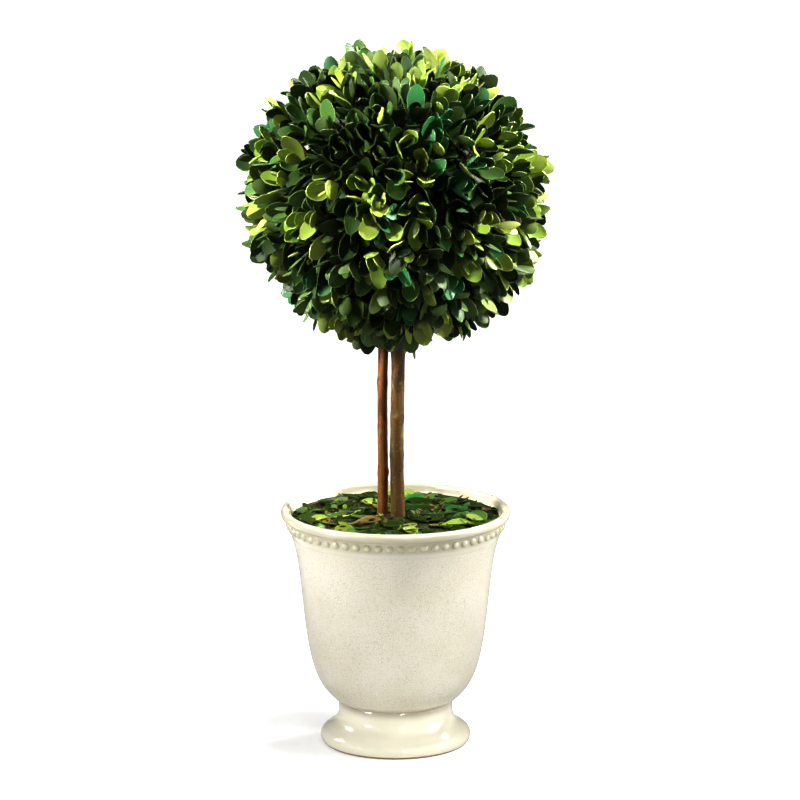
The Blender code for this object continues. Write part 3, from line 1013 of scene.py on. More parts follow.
@dataclass
class Stem:
    """One bare stem: it tapers, sways a little, has knots, and its bark has relief."""

    node: str
    slot: str
    bark: Bark
    foot: Point2  # where it stands, seen from above
    tip: Point2  # where it ends
    radii: Span  # at its foot and at its tip
    knots: tuple[float, ...]  # shares of the way up
    phase: float  # bearing of its sway and of its first scar, in radians
    foot_height: float = 160.3 * MM
    tip_height: float = 343.0 * MM
    sides: int = 28
    rings: int = 110
    bow: float = 0.8 * MM
    twist: float = 5.0  # radians that the sway turns on the way up
    flare: float = 0.10
    flare_height: float = 14.0 * MM
    knot_swell: float = 0.07
    knot_length: float = 4.0 * MM
    relief: float = 0.28 * MM
    streak_cell: Point3 = (2.2 * MM, 2.2 * MM, 16.0 * MM)
    lump_cell: float = 6.0 * MM
    scar_height: float = 0.55 * MM
    scar_length: float = 1.5 * MM
    scar_turn: float = 2.4  # radians from one scar to the next
    plain_end: float = 0.001  # share of the length at each end that keeps its clean cut

    def point(self, share: float) -> Vector:
        """The centre line's place at a share of the way up.

        Args:
            share: How far up it is, from 0 to 1.

        Returns:
            The place.
        """
        foot = Vector((*self.foot, self.foot_height))
        tip = Vector((*self.tip, self.tip_height))
        sway = self.bow * math.sin(math.pi * share)
        angle = self.phase + self.twist * share
        return foot.lerp(tip, share) + Vector((sway * math.cos(angle), sway * math.sin(angle), 0.0))

    def radius(self, share: float) -> float:
        """The radius at a share of the way up.

        Args:
            share: How far up it is, from 0 to 1.

        Returns:
            The radius, swollen at the foot and at the knots.
        """
        length = self.tip_height - self.foot_height
        plain = self.radii[0] + share * (self.radii[1] - self.radii[0])
        flare = self.flare * math.exp(-share * length / self.flare_height)
        knots = sum(math.exp(-(((share - k) * length / self.knot_length) ** 2)) for k in self.knots)
        return plain * (1 + flare + self.knot_swell * min(1.0, knots))

    def clear(self, points: np.ndarray, gap: float) -> bool:
        """Whether points keep a gap to the stem.

        Args:
            points: Places as rows.
            gap: The least distance to the bark.

        Returns:
            True where none is nearer.
        """
        share = np.clip((points[:, 2] - self.foot_height) / (self.tip_height - self.foot_height), 0, 1)
        x = self.foot[0] + share * (self.tip[0] - self.foot[0])
        y = self.foot[1] + share * (self.tip[1] - self.foot[1])
        apart = np.hypot(points[:, 0] - x, points[:, 1] - y)
        low = points[:, 2] < self.tip_height + gap
        return not bool(np.any((apart < self.radii[0] * (1 + self.flare) + gap) & low))

    def build(self) -> None:
        """Draws the stem ring by ring from its flat foot and raises its bark."""
        deselect_all()
        bpy.ops.mesh.primitive_circle_add(
            vertices=self.sides, radius=self.radius(0.0), fill_type="NGON", location=self.point(0.0)
        )
        item = bpy.context.object
        item.name = self.node + "_bark"
        bpy.ops.object.transform_apply(location=True)
        begin_edit(item)
        for ring in range(1, self.rings):
            share, before = ring / (self.rings - 1), (ring - 1) / (self.rings - 1)
            step = self.point(share) - self.point(before)
            bpy.ops.mesh.extrude_region_move(TRANSFORM_OT_translate={"value": step})
            grow = self.radius(share) / self.radius(before)
            bpy.ops.transform.resize(value=(grow, grow, 1.0), center_override=self.point(share))
        bpy.ops.mesh.select_all(action="SELECT")
        bpy.ops.mesh.normals_make_consistent(inside=False)
        end_edit()
        self.raise_bark(item)
        item.data.materials.append(self.bark.material())
        smooth(item, SMOOTH_FOLD)
        hand_over(item, self.slot, self.node)

    def raise_bark(self, item: bpy.types.Object) -> None:
        """Moves the bark in and out along its streaks and puts a scar at each knot.

        Args:
            item: The smooth stem.
        """
        length = self.tip_height - self.foot_height
        for vertex in item.data.vertices:
            share = (vertex.co.z - self.foot_height) / length
            out = vertex.co - self.point(share)
            out.z = 0.0
            if not self.plain_end <= share <= 1 - self.plain_end or out.length < MM:
                continue
            streak = noise.noise(Vector([c / size for c, size in zip(vertex.co, self.streak_cell)]))
            lump = noise.noise(vertex.co / self.lump_cell)
            height = self.relief * (0.55 * streak + 0.6 * lump - 0.5)
            for number, knot in enumerate(self.knots):
                bearing = self.phase + self.scar_turn * number
                facing = Vector((math.cos(bearing), math.sin(bearing), 0.0))
                near = math.exp(-(((share - knot) * length / self.scar_length) ** 2))
                height += self.scar_height * near * max(0.0, out.normalized().dot(facing)) ** 4
            vertex.co += out.normalized() * height


def make_stems() -> list[Stem]:
    """The plant's two stems.

    Returns:
        The thin red one on the left and the thicker olive one on the right.
    """
    red = Bark("red_bark", (0.118, 0.043, 0.011), (0.165, 0.066, 0.015), (0.068, 0.026, 0.009))
    olive = Bark("olive_bark", (0.060, 0.031, 0.008), (0.088, 0.045, 0.010), (0.035, 0.019, 0.006))
    left = Stem(
        node="stem_left",
        slot="red_bark",
        bark=red,
        foot=(-9.4 * MM, 1.0 * MM),
        tip=(-8.0 * MM, 1.5 * MM),
        radii=(4.0 * MM, 3.7 * MM),
        knots=(0.22, 0.58, 0.83),
        phase=0.4,
    )
    right = Stem(
        node="stem_right",
        slot="olive_bark",
        bark=olive,
        foot=(1.7 * MM, -6.5 * MM),
        tip=(1.1 * MM, -3.0 * MM),
        radii=(5.2 * MM, 4.9 * MM),
        knots=(0.30, 0.45, 0.71),
        phase=2.1,
    )
    return [left, right]


@dataclass(frozen=True)
class Scatter:
    """How one kind of fallen leaf lies on the moss."""

    count: int
    scale: Span  # smallest and largest, against the cut
    lift: Span  # lowest and highest above the mound, in millimetres
    tilt: float  # the steepest that it leans, in degrees


@dataclass
class Litter:
    """The mound of moss with fallen leaves and crumbs on it."""

    pot: Pot
    stems: list[Stem]
    cuts: list[Pattern]
    seed: int = 31
    foot_height: float = 160.3 * MM
    edge_height: float = 167.6 * MM
    mound: float = 3.4 * MM
    gap: float = 0.3 * MM
    roughness: float = 0.9 * MM
    crumbs: Scatter = Scatter(420, (0.14, 0.36), (-0.6, 0.9), 40.0)
    leaves: Scatter = Scatter(78, (0.85, 1.2), (0.2, 2.4), 34.0)
    spread: float = 0.97  # share of the mound that they cover
    attempts: int = 14
    calming: float = 16.0  # attempts after which a leaf would lie quite flat
    brown_crumb: int = 7  # one crumb in so many is brown
    highest: float = 2.2 * MM  # above the rim's middle, near the stems
    slope: float = 0.05  # how much lower that is for each unit towards the wall
    slope_start: float = 30.0 * MM
    rest: float = 10.0 * MM  # how far from its stalk a leaf rests on the mound
    turned_over: float = 0.3  # share of them that show their undersides
    shine: float = 0.05
    chances: dict[Tone, float] = field(
        default_factory=lambda: {
            Tone.DEEP: 64,
            Tone.FOREST: 20,
            Tone.MID: 4,
            Tone.BLUE: 2,
            Tone.OLIVE: 8,
            Tone.BRIGHT: 2,
            Tone.LIME: 0.3,
            Tone.BROWN: 4,
        }
    )

    def top(self, radius: float) -> float:
        """The mound's height at a distance from its middle."""
        edge = self.pot.wall_radius(self.edge_height)
        return self.edge_height + self.mound * (1 - (radius / edge) ** 2)

    def build_moss(self) -> None:
        """Makes the mound's mossy ground."""
        edge = self.pot.wall_radius(self.edge_height) - self.gap
        top = self.edge_height + self.mound
        handles = (26.0 * MM, top), (50.0 * MM, 169.0 * MM)
        outline = [
            (0.0, top),
            *bezier((0.0, top), *handles, (edge, self.edge_height), 26),
            (self.pot.wall_radius(self.foot_height) - self.gap, self.foot_height),
            (0.0, self.foot_height),
        ]
        ground = turn_outline("moss_ground", outline, 120)
        for vertex in ground.data.vertices:
            if vertex.co.z > self.foot_height + MM and vertex.co.xy.length < edge - MM:
                rough = lumps(vertex.co, 7.0 * MM, 2.6 * MM, 0.6)
                vertex.co.z += self.roughness * (rough - 0.9)
        # near-black moss: partly its own dark colour, partly painted shade in the gaps between the fallen
        # leaves
        moss = Ground("moss_and_painted_shade", (0.010, 0.010, 0.005), (0.035, 0.045, 0.012), 0.9 * MM)
        ground.data.materials.append(moss.material())
        smooth(ground, ROUGH_FOLD)
        hand_over(ground, "moss_and_leaves", "leaf_litter")

    def lies_inside(self, vertices: np.ndarray) -> bool:
        """Whether a leaf lies within the pot's wall, off its filling and clear of the stems.

        Args:
            vertices: The leaf's vertices, as rows.

        Returns:
            True where all of it does.
        """
        radii, heights = np.hypot(vertices[:, 0], vertices[:, 1]), vertices[:, 2]
        walls = np.array([self.pot.wall_radius(z) for z in np.minimum(heights, self.pot.rim[1])])
        roof = self.pot.rim[1] + self.highest - self.slope * np.maximum(0.0, radii - self.slope_start)
        return (
            bool(np.all(radii < walls - self.gap))
            and float(heights.min()) > self.foot_height + MM
            and bool(np.all(heights < roof))
            and all(stem.clear(vertices, self.gap) for stem in self.stems)
        )

    def pose(
        self, rng: random.Random, radius: float, angle: float, scale: float, lift: float, tilt: float
    ) -> Matrix:
        """Where one leaf lies.

        Args:
            rng: The seeded source of chance.
            radius: Its distance from the middle.
            angle: Its bearing from the middle.
            scale: Its size against the cut.
            lift: How far it lies above the mound.
            tilt: The steepest that it leans, in degrees.

        Returns:
            The leaf's pose.
        """
        place = (radius * math.cos(angle), radius * math.sin(angle), self.top(radius) + lift)
        pose = Matrix.Translation(place) @ Matrix.Rotation(rng.uniform(0.0, math.tau), 4, "Z")
        pose @= Matrix.Rotation(math.radians(rng.uniform(-0.3, 1.0) * tilt), 4, "X")
        pose @= Matrix.Rotation(math.radians(rng.uniform(-1.0, 1.0) * tilt), 4, "Y")
        if rng.random() < self.turned_over:
            pose @= Matrix.Rotation(math.pi, 4, "Y")
        return pose @ Matrix.Scale(scale, 4) @ Matrix.Translation((0.0, -self.rest, 0.0))

    def lay(
        self, rng: random.Random, kind: Scatter, radius: float, angle: float
    ) -> tuple[Pattern, np.ndarray] | None:
        """Finds a pose for one leaf that keeps within its bounds, flatter with each attempt.

        Args:
            rng: The seeded source of chance.
            kind: How such a leaf lies.
            radius: Its distance from the middle.
            angle: Its bearing from the middle.

        Returns:
            The cut and its placed vertices, or None where no pose fits.
        """
        for attempt in range(self.attempts):
            flatter = 1.0 - attempt / self.calming
            scale = rng.uniform(*kind.scale)
            lift = rng.uniform(*kind.lift) * MM * (1.0 if kind is self.crumbs else flatter)
            pose = self.pose(rng, radius, angle, scale, lift, kind.tilt * flatter)
            cut = rng.choice(self.cuts)
            vertices = cut.placed(pose)
            if self.lies_inside(vertices):
                return cut, vertices
        return None

    def build_leaves(self) -> None:
        """Scatters crumbs and then whole leaves over the moss."""
        rng = random.Random(self.seed)
        piles = {tone: Gathering(f"fallen_leaves_{tone.name.lower()}") for tone in Tone}
        edge = self.pot.wall_radius(self.edge_height)
        for kind in (self.crumbs, self.leaves):
            for number in range(kind.count):
                radius = edge * self.spread * math.sqrt((number + 0.5) / kind.count)
                angle = number * GOLDEN_TURN + rng.uniform(-0.2, 0.2)
                tone = rng.choices(list(self.chances), list(self.chances.values()))[0]
                if kind is self.crumbs and number % self.brown_crumb == 0:
                    tone = Tone.BROWN
                laid = self.lay(rng, kind, radius, angle)
                if laid is not None:
                    piles[tone].add(*laid)
        for tone, pile in piles.items():
            if pile.count:
                leaves = pile.to_object(tone.materials(self.shine), LEAF_FOLD)
                hand_over(leaves, "moss_and_leaves", "leaf_litter")

    def build(self) -> None:
        """Makes the moss and all that lies on it."""
        self.build_moss()
        self.build_leaves()


def even_direction(index: int, count: int) -> Vector:
    """The direction of one of several points spread evenly over a sphere.

    Args:
        index: Which point it is, from the top.
        count: How many points there are.

    Returns:
        The direction, one unit long.
    """
    height = 1 - 2 * (index + 0.5) / count
    ring = math.sqrt(1 - height * height)
    turn = index * GOLDEN_TURN
    return Vector((ring * math.cos(turn), ring * math.sin(turn), height))


def direction_of(azimuth: float, elevation: float) -> Vector:
    """The direction of an azimuth and an elevation.

    Args:
        azimuth: Degrees round from +X towards +Y.
        elevation: Degrees up from level.

    Returns:
        The direction, one unit long.
    """
    azimuth, elevation = math.radians(azimuth), math.radians(elevation)
    flat = math.cos(elevation)
    return Vector((flat * math.cos(azimuth), flat * math.sin(azimuth), math.sin(elevation)))


@dataclass
class Shoot:
    """One leafy shoot of the crown."""

    number: int
    direction: Vector  # from the crown's centre to its tip
    reach: float  # how far its leaves may reach from the centre
    stand: Matrix  # how it is turned
    tone: Tone


class Thicket:
    """The leaves already grown, by cell of a coarse grid, so that a new one can keep clear."""

    def __init__(self, cell: float) -> None:
        """Starts an empty thicket with cells of a size."""
        self.cell = cell
        self.leaves: dict[tuple[int, ...], list[tuple[int, BVHTree]]] = {}

    def admit(self, shoot: int, middle: Vector, tree: BVHTree) -> bool:
        """Takes a leaf in, unless it cuts a leaf of another shoot.

        Args:
            shoot: The number of the leaf's shoot.
            middle: The leaf's middle.
            tree: Its faces.

        Returns:
            True where it was taken in.
        """
        cell = tuple(math.floor(c / self.cell) for c in middle)
        for step in itertools.product((-1, 0, 1), repeat=3):
            near = tuple(c + d for c, d in zip(cell, step))
            for owner, other in self.leaves.get(near, ()):
                if owner != shoot and tree.overlap(other):
                    return False
        self.leaves.setdefault(cell, []).append((shoot, tree))
        return True


@dataclass
class Crown:
    """The clipped ball: a core painted near black as its inner shade, twigs that fork from it, and whorls of
    box leaves.
    """

    stems: list[Stem]
    cuts: list[Pattern]
    tip_cuts: list[Pattern]
    centre: Vector = field(default_factory=lambda: Vector((0.0, 0.0, 402.0 * MM)))
    reach: float = 107.5 * MM
    core_radius: float = 66.0 * MM
    core_relief: float = 2.2  # millimetres
    seed: int = 11
    limb_count: int = 140
    limb_radius: float = 1.5 * MM
    limb_depth: float = 6.0 * MM  # how deep its root sits in the core
    shoot_count: int = 400
    shoot_radius: float = 0.9 * MM
    jitter: float = 0.035  # of the shoots' directions
    fork_radius: float = 73.0 * MM  # where shoots leave the limbs
    fork_depth: float = 3.0 * MM  # how deep their roots sit in the limbs
    shoot_overlap: float = 2.0 * MM  # how far a shoot runs on among its first leaves
    leaf_length: float = 24.0 * MM
    seat_depth: float = 0.88  # of the first whorl below the reach, in leaf lengths
    slack: float = 1.2 * MM  # how far past its shoot's reach a leaf may stand
    reach_spread: Span = (0.96, 1.07)  # shares of the clipped reach that shoots have
    size_spread: Span = (0.80, 1.10)  # of the leaves, against their cuts
    lean_spread: Span = (0.82, 1.15)  # of the leaves, against their whorl's splay
    leaf_roll: float = 0.22  # radians
    sway: float = 0.17  # of the shoots' own direction
    droop: float = 0.55
    ageing_and_shade: float = 0.26  # chance for each whorl down that a leaf is dealt the darkest tone, partly for age, partly as painted shade deeper in the ball
    kept: float = 0.72  # share of the other leaves that have their shoot's colour
    kept_bright: float = 0.45  # the same on the two brightest kinds of shoot
    stem_gap: float = 0.5 * MM
    shine: float = 0.28
    turns: tuple[float, ...] = (0.0, 20.0, -20.0, 38.0, -38.0)  # tried in turn, in degrees
    whorls: tuple[tuple[float, float], ...] = (
        (0.0, 12.0),
        (3.0, 27.0),
        (7.0, 38.0),
        (11.5, 49.0),
        (16.5, 60.0),
    )  # millimetres below the tip and splay in degrees
    whorl_leaves: int = 2
    swells: tuple[tuple[float, float, float], ...] = (
        (180, 55, 0.070),
        (180, 12, 0.010),
        (180, -20, -0.015),
        (180, -50, 0.015),
        (180, 75, -0.035),
        (0, 75, 0.035),
        (0, 40, -0.020),
        (0, 22, 0.015),
        (0, 2, -0.040),
        (0, -20, 0.040),
        (0, -50, 0.010),
        (0, -86, 0.020),
        (-90, 25, 0.020),
        (90, -15, 0.020),
        (95, 50, -0.020),
    )  # azimuth, elevation and share of the reach
    swell_sharpness: int = 7
    strays: tuple[tuple[float, float, float], ...] = (
        (178, 17, 1.105),
        (172, 3, 1.05),
        (-2, 16, 1.075),
        (4, 8, 1.06),
        (-93, 84, 1.01),
        (20, 85, 1.01),
        (-118, -67, 1.05),
        (12, -38, 1.03),
        (88, -12, 1.05),
        (101, 24, 1.04),
    )  # sprigs that the shears missed: azimuth, elevation and share of the reach
    stray_room: float = 5.5  # degrees round a stray that stay free of other shoots

    def reach_in(self, direction: Vector) -> float:
        """How far the clipped crown reaches in a direction.

        Args:
            direction: The direction from its centre.

        Returns:
            The reach, with the swells and hollows that the shears left.
        """
        swell = 0.0
        for azimuth, elevation, amount in self.swells:
            near = max(0.0, direction.dot(direction_of(azimuth, elevation)))
            swell += amount * near**self.swell_sharpness
        return self.reach * (1 + swell)

    def shoot_axes(self, rng: random.Random) -> list[tuple[Vector, float]]:
        """Every shoot's direction from the crown's centre and its reach.

        Args:
            rng: The seeded source of chance.

        Returns:
            The strays and then the others.
        """
        room = math.cos(math.radians(self.stray_room))
        strays = [(direction_of(a, e), self.reach * share) for a, e, share in self.strays]
        others = []
        for index in range(self.shoot_count):
            shift = Vector([rng.gauss(0.0, self.jitter) for _ in range(3)])
            direction = (even_direction(index, self.shoot_count) + shift).normalized()
            if all(direction.dot(stray) < room for stray, _ in strays):
                reach = self.reach_in(direction) * rng.uniform(*self.reach_spread)
                others.append((direction, reach))
        return strays + others

    def build_core(self) -> None:
        """Makes the uneven core that closes the view between the twigs, painted near black as shade."""
        deselect_all()
        bpy.ops.mesh.primitive_ico_sphere_add(
            subdivisions=5, radius=self.core_radius, location=self.centre
        )
        core = bpy.context.object
        core.name = "crown_core"
        bpy.ops.object.transform_apply(location=True)
        for vertex in core.data.vertices:
            out = (vertex.co - self.centre).normalized()
            lump = lumps(vertex.co, 9.0 * MM, 3.5 * MM, 0.5)
            vertex.co += out * self.core_relief * MM * lump
        # near-black finish: painted shade inside the ball
        moss = Ground("core_painted_shade", (0.006, 0.007, 0.003), (0.016, 0.020, 0.007), 1.5 * MM)
        core.data.materials.append(moss.material())
        smooth(core, ROUGH_FOLD)
        hand_over(core, "box_leaves", "crown_ball")

    def painted_light_and_drift(self, direction: Vector) -> float:
        """How brightly the leaves on one side of the ball are dealt, as painted light and shade.

        It is painted lighter to the top and a little to the right and darker to the front and the
        back, as light falls there, and drifts loosely from place to place as the leaves' own tone.

        Args:
            direction: The side's direction from the crown's centre.

        Returns:
            Nought for the most shaded side, and about one for the most lit.
        """
        drift = noise.noise(direction * 2.3 + Vector((5.0, 1.0, 2.0)))
        # painted shade to the front and the back, painted light to the top and a little to the right
        shaded = max(0.0, -direction.y) + 0.6 * max(0.0, direction.y)
        return max(0.0, 0.5 + 0.5 * direction.z + 0.15 * direction.x - 0.38 * shaded + 0.5 * drift)

    def shoot_tone(self, rng: random.Random, direction: Vector) -> Tone:
        """Deals a shoot its leaf colour: brighter on the more lit sides, as painted light.

        Args:
            rng: The seeded source of chance.
            direction: The shoot's direction from the crown's centre.

        Returns:
            The colour of most of its leaves.
        """
        lit_share = self.painted_light_and_drift(direction)
        chances = {
            Tone.DEEP: 24,
            Tone.FOREST: 28,
            Tone.MID: 17 + 14 * lit_share,
            Tone.BLUE: 9,
            Tone.OLIVE: 9,
            Tone.BRIGHT: 5 + 10 * lit_share,
            Tone.LIME: 0.6 + 2.4 * lit_share,
        }
        return rng.choices(list(chances), list(chances.values()))[0]

    def leaf_tone(self, rng: random.Random, shoot: Tone, whorl: int) -> Tone:
        """Deals one leaf its colour: mostly its shoot's, darker with age and painted shade, sometimes
        another.

        Args:
            rng: The seeded source of chance.
            shoot: The shoot's colour.
            whorl: Which whorl the leaf is in, from the tip; the lower, the older and the more shaded.

        Returns:
            The leaf's colour.
        """
        if rng.random() < self.ageing_and_shade * whorl:
            return Tone.DEEP
        if rng.random() < (self.kept_bright if shoot in (Tone.BRIGHT, Tone.LIME) else self.kept):
            return shoot
        others = {
            Tone.DEEP: 30,
            Tone.FOREST: 24,
            Tone.MID: 20,
            Tone.BLUE: 8,
            Tone.OLIVE: 9,
            Tone.BRIGHT: 8,
            Tone.LIME: 3,
            Tone.BROWN: 0.7 * whorl,
        }
        return rng.choices(list(others), list(others.values()))[0]

    def clears_stems(self, vertices: np.ndarray) -> bool:
        """Whether a twig or leaf keeps its gap to both stems."""
        return all(stem.clear(vertices, self.stem_gap) for stem in self.stems)

    def build_twigs(self, axes: list[tuple[Vector, float]]) -> None:
        """Makes limbs that leave the core and shoots that fork from them.

        Args:
            axes: Every shoot's direction and reach.
        """
        limbs = [even_direction(i, self.limb_count) for i in range(self.limb_count)]
        limb, shoot = twig_pattern(6), twig_pattern(5)
        placed = []
        for direction in limbs:
            start = self.centre + direction * (self.core_radius - self.limb_depth)
            end = self.centre + direction * (self.fork_radius + MM)
            placed.append((limb, twig_between(limb, start, end, self.limb_radius)))
        for direction, reach in axes:
            nearest = max(limbs, key=direction.dot)
            start = self.centre + nearest * (self.fork_radius - self.fork_depth)
            end = self.centre + direction * (reach - self.leaf_length + self.shoot_overlap)
            placed.append((shoot, twig_between(shoot, start, end, self.shoot_radius)))
        gathered = Gathering("crown_twigs")
        for pattern, vertices in placed:
            if self.clears_stems(vertices):
                gathered.add(pattern, vertices)
        bark = Bark("twig_bark", (0.09, 0.085, 0.03), (0.13, 0.11, 0.035), (0.05, 0.045, 0.02))
        twigs = gathered.to_object([bark.material()], ROUGH_FOLD)
        hand_over(twigs, "box_leaves", "crown_ball")

    def turn_shoots(self, axes: list[tuple[Vector, float]], rng: random.Random) -> list[Shoot]:
        """Gives every shoot its stance, sagging more the lower it stands, and its colour.

        Args:
            axes: Every shoot's direction and reach.
            rng: The seeded source of chance.

        Returns:
            The shoots.
        """
        shoots = []
        for number, (direction, reach) in enumerate(axes):
            sag = Vector((0.0, 0.0, -self.droop * (0.75 - direction.z) / 2))
            stray = Vector([rng.gauss(0.0, self.sway) for _ in range(3)])
            axis = (direction + sag + stray).normalized()
            stand = axis.to_track_quat("Z", "Y").to_matrix().to_4x4()
            stand @= Matrix.Rotation(rng.uniform(0.0, math.tau), 4, "Z")
            shoots.append(Shoot(number, direction, reach, stand, self.shoot_tone(rng, direction)))
        return shoots

    def grow_leaf(
        self, rng: random.Random, shoot: Shoot, whorl: int, yaw: float, thicket: Thicket
    ) -> tuple[Pattern, np.ndarray] | None:
        """Finds a pose for one leaf that cuts no leaf already there.

        Args:
            rng: The seeded source of chance.
            shoot: The shoot that it grows on.
            whorl: Which whorl it is in, from the tip.
            yaw: Its bearing round the shoot, in radians.
            thicket: The leaves already there.

        Returns:
            The cut and its placed vertices, or None where no pose is clear.
        """
        below, splay = self.whorls[whorl]
        seat = self.centre + shoot.direction * (
            shoot.reach - self.seat_depth * self.leaf_length - below * MM
        )
        cut = rng.choice(self.tip_cuts if whorl == 0 else self.cuts)
        size = rng.uniform(*self.size_spread)
        for turn in self.turns:
            lean = math.radians(splay * rng.uniform(*self.lean_spread))
            pose = Matrix.Translation(seat) @ shoot.stand
            pose @= Matrix.Rotation(yaw + math.radians(turn), 4, "Z")
            pose @= Matrix.Rotation(math.pi / 2 - lean, 4, "X")
            pose @= Matrix.Rotation(rng.gauss(0.0, self.leaf_roll), 4, "Y") @ Matrix.Scale(size, 4)
            vertices = cut.placed(pose)
            furthest = np.linalg.norm(vertices - np.array(self.centre), axis=1).max()
            if furthest > shoot.reach + self.slack or not self.clears_stems(vertices):
                continue
            middle = pose @ Vector((0.0, self.leaf_length / 2, 0.0))
            tree = BVHTree.FromPolygons(vertices.tolist(), cut.faces)
            if thicket.admit(shoot.number, middle, tree):
                return cut, vertices
        return None

    def build_leaves(self, axes: list[tuple[Vector, float]], rng: random.Random) -> None:
        """Grows the whorls from the tips down, and turns or drops a leaf that would cut another.

        Args:
            axes: Every shoot's direction and reach.
            rng: The seeded source of chance.
        """
        sprays = {tone: Gathering(f"crown_leaves_{tone.name.lower()}") for tone in Tone}
        shoots = self.turn_shoots(axes, rng)
        thicket = Thicket(self.leaf_length)
        dropped = 0
        for whorl, shoot, leaf in itertools.product(
            range(len(self.whorls)), shoots, range(self.whorl_leaves)
        ):
            yaw = whorl * math.pi / 2 + math.tau * leaf / self.whorl_leaves
            grown = self.grow_leaf(rng, shoot, whorl, yaw, thicket)
            if grown is None:
                dropped += 1
            else:
                sprays[self.leaf_tone(rng, shoot.tone, whorl)].add(*grown)
        LOG.info("leaves left out for want of room: %d", dropped)
        for tone, spray in sprays.items():
            if spray.count:
                leaves = spray.to_object(tone.materials(self.shine), LEAF_FOLD)
                hand_over(leaves, "box_leaves", "crown_ball")

    def build(self) -> None:
        """Makes the core, the twigs and the leaves."""
        rng = random.Random(self.seed)
        axes = self.shoot_axes(rng)
        self.build_core()
        self.build_twigs(axes)
        self.build_leaves(axes, rng)


@dataclass(frozen=True)
class SoftBox:
    """One rectangular light."""

    name: str
    place: Point3
    aim: Point3
    size: tuple[float, float]  # width and height
    watts: float
    spread: float = 180.0  # the angle that it shines into, in degrees

    def hang(self) -> None:
        """Puts the light up and turns it to its aim."""
        data = bpy.data.lights.new(self.name, "AREA")
        data.shape = "RECTANGLE"
        data.size, data.size_y = self.size
        data.energy = self.watts
        data.spread = math.radians(self.spread)
        light = bpy.data.objects.new(self.name, data)
        light.location = self.place
        line = Vector(self.aim) - Vector(self.place)
        light.rotation_euler = line.to_track_quat("-Z", "Y").to_euler()
        bpy.context.scene.collection.objects.link(light)


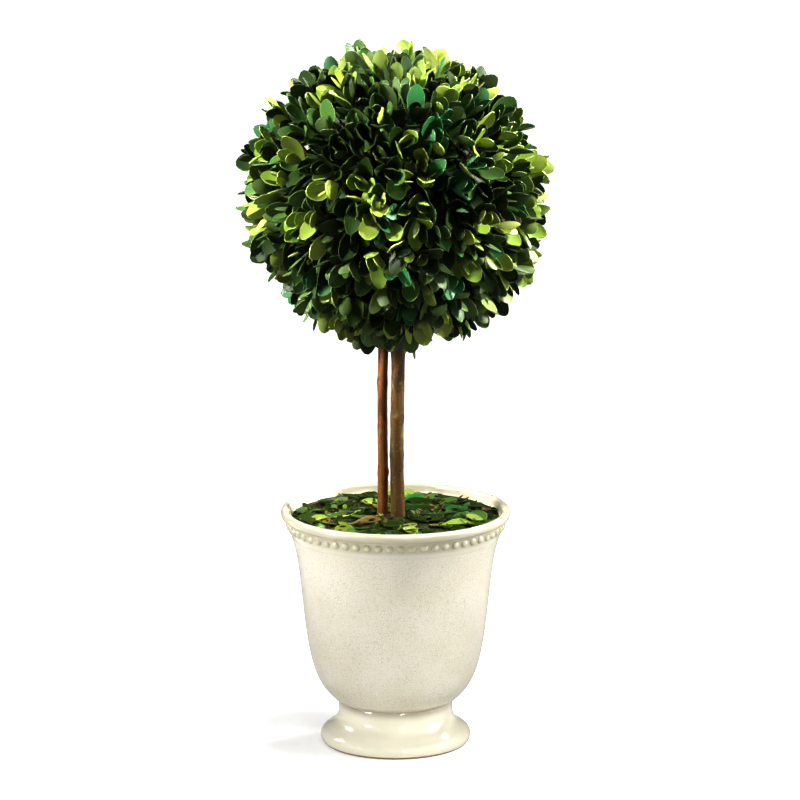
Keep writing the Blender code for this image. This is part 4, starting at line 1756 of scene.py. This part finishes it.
@dataclass
class Studio:
    """A pale floor, soft light from both sides and the camera."""

    eye: Point3 = (3.2 * MM, -3.4, 1.0064)
    look_down: float = 12.48  # degrees
    focal_length: float = 217.94  # millimetres on the sensor's width
    sensor_width: float = 36.0
    floor_size: float = 80.0
    floor_grey: float = 0.76
    shade_centre: Point3 = (-38.0 * MM, 26.0 * MM, 0.0)
    shade_reach: Span = (0.055, 0.12)  # where the shade by the foot starts to fade, and ends
    shade_glow: float = 0.37  # the floor's own light within the shade; it is 1 outside it
    surroundings: float = 0.13
    gamma: float = 0.8
    middle: Point3 = (0.0, 0.0, 0.30)  # the plant's; this and the next three are what lights aim at
    ball: Point3 = (0.0, 0.0, 0.40)
    pot: Point3 = (0.0, 0.0, 0.12)
    foot: Point3 = (0.0, 0.0, 0.02)  # the pot's

    def build_camera(self) -> None:
        """Puts the camera in front, a little above the rim."""
        data = bpy.data.cameras.new("camera")
        data.lens = self.focal_length
        data.sensor_width = self.sensor_width
        camera = bpy.data.objects.new("camera", data)
        camera.location = self.eye
        camera.rotation_euler = (math.radians(90.0 - self.look_down), 0.0, 0.0)
        bpy.context.scene.collection.objects.link(camera)
        bpy.context.scene.camera = camera

    def build_floor(self) -> None:
        """Lays the pale floor, lit for the camera all but a faint shade by the foot."""
        deselect_all()
        bpy.ops.mesh.primitive_plane_add(size=self.floor_size)
        floor = bpy.context.object
        floor.name = "studio_floor"
        sheet = NodeSheet("white_floor")
        grey = (self.floor_grey, self.floor_grey, self.floor_grey, 1.0)
        sheet.constant(Base_Color=grey, Roughness=0.9, Specular_IOR_Level=0.0)
        sheet.constant(Emission_Color=(1.0, 1.0, 1.0, 1.0))
        seen = sheet.add("ShaderNodeLightPath").outputs["Is Camera Ray"]
        away = sheet.combine("DISTANCE", sheet.place, self.shade_centre)
        glow = sheet.ramp(away, *self.shade_reach, self.shade_glow, 1.0)
        sheet.feed("Emission Strength", sheet.times(seen, glow))
        floor.data.materials.append(sheet.material)

    def soft_boxes(self) -> list[SoftBox]:
        """The lights: wide ones for the whole, narrow ones for the crown, panes for the glaze.

        Returns:
            The lights, in the order in which they are hung.
        """
        panes = [
            SoftBox(
                f"left_pane_{i}",
                (-0.95 + 0.16 * across, -1.0 - 0.1 * across, 0.62 + 0.18 * up),
                self.pot,
                (0.06, 0.06),
                0.4,
            )
            for i, (across, up) in enumerate(((0, 0), (1, 0), (0, 1), (1, 1)))
        ]
        return [
            SoftBox("right_box", (1.3, -0.1, 0.9), self.middle, (0.55, 0.6), 8.0),
            SoftBox("left_box", (-1.3, 0.45, 0.9), self.middle, (0.3, 0.4), 9.5),
            SoftBox("front_box", (0.0, -1.0, 1.6), self.middle, (0.3, 0.3), 1.8),
            SoftBox("low_right_box", (1.3, -0.12, 0.30), self.middle, (0.8, 0.5), 5.8),
            SoftBox("low_left_box", (-1.1, -0.75, 0.25), self.middle, (0.3, 0.3), 4.7),
            SoftBox("low_front_box", (0.35, -1.4, 0.30), self.foot, (0.16, 0.10), 0.060, 14.0),
            SoftBox("crown_right", (0.95, -0.15, 1.05), self.ball, (0.2, 0.2), 1.9, 22.0),
            SoftBox("crown_left", (-1.0, -0.28, 0.95), self.ball, (0.2, 0.2), 2.05, 22.0),
            SoftBox("crown_back", (0.65, 0.75, 1.15), self.ball, (0.2, 0.2), 1.8, 22.0),
            SoftBox("right_strip", (0.75, -1.10, 0.62), self.pot, (0.24, 0.12), 1.15),
            *panes,
        ]

    def build_surroundings(self) -> None:
        """Makes the surroundings white to look at, but dim as a light."""
        world = bpy.data.worlds.new("surroundings")
        world.use_nodes = True
        tree = world.node_tree
        bright = tree.nodes["Background"]
        dim = tree.nodes.new("ShaderNodeBackground")
        for node, strength in ((bright, 1.0), (dim, self.surroundings)):
            node.inputs["Color"].default_value = (1.0, 1.0, 1.0, 1.0)
            node.inputs["Strength"].default_value = strength
        path = tree.nodes.new("ShaderNodeLightPath")
        choice = tree.nodes.new("ShaderNodeMixShader")
        tree.links.new(path.outputs["Is Camera Ray"], choice.inputs[0])
        tree.links.new(dim.outputs[0], choice.inputs[1])
        tree.links.new(bright.outputs[0], choice.inputs[2])
        tree.links.new(choice.outputs[0], tree.nodes["World Output"].inputs["Surface"])
        bpy.context.scene.world = world

    def build(self) -> None:
        """Sets up the whole studio."""
        bpy.context.scene.view_settings.view_transform = "Standard"
        bpy.context.scene.view_settings.gamma = self.gamma
        self.build_camera()
        self.build_floor()
        for box in self.soft_boxes():
            box.hang()
        self.build_surroundings()


def dress_filling(filling: bpy.types.Object) -> None:
    """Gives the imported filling, which keeps its shape, its foam finish.

    Args:
        filling: The filling's solid.
    """
    foam = Ground("dry_foam", (0.05, 0.04, 0.02), (0.11, 0.09, 0.05), 1.2 * MM)
    filling.data.materials.clear()
    filling.data.materials.append(foam.material())


def main() -> None:
    """Builds the topiary round its frame, and the studio."""
    logging.basicConfig(level=logging.INFO, format="%(name)s %(message)s")
    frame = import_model()
    Studio().build()
    pot = Pot()
    pot.build()
    dress_filling(frame["nodes"]["pot_filling"])
    stems = make_stems()
    for stem in stems:
        stem.build()
    cuts = [cut.value.model() for cut in SPREAD_CUTS]
    tip_cuts = [cut.value.model() for cut in TIP_CUTS]
    Litter(pot, stems, cuts).build()
    Crown(stems, cuts, tip_cuts).build()


if __name__ == "__main__":
    main()
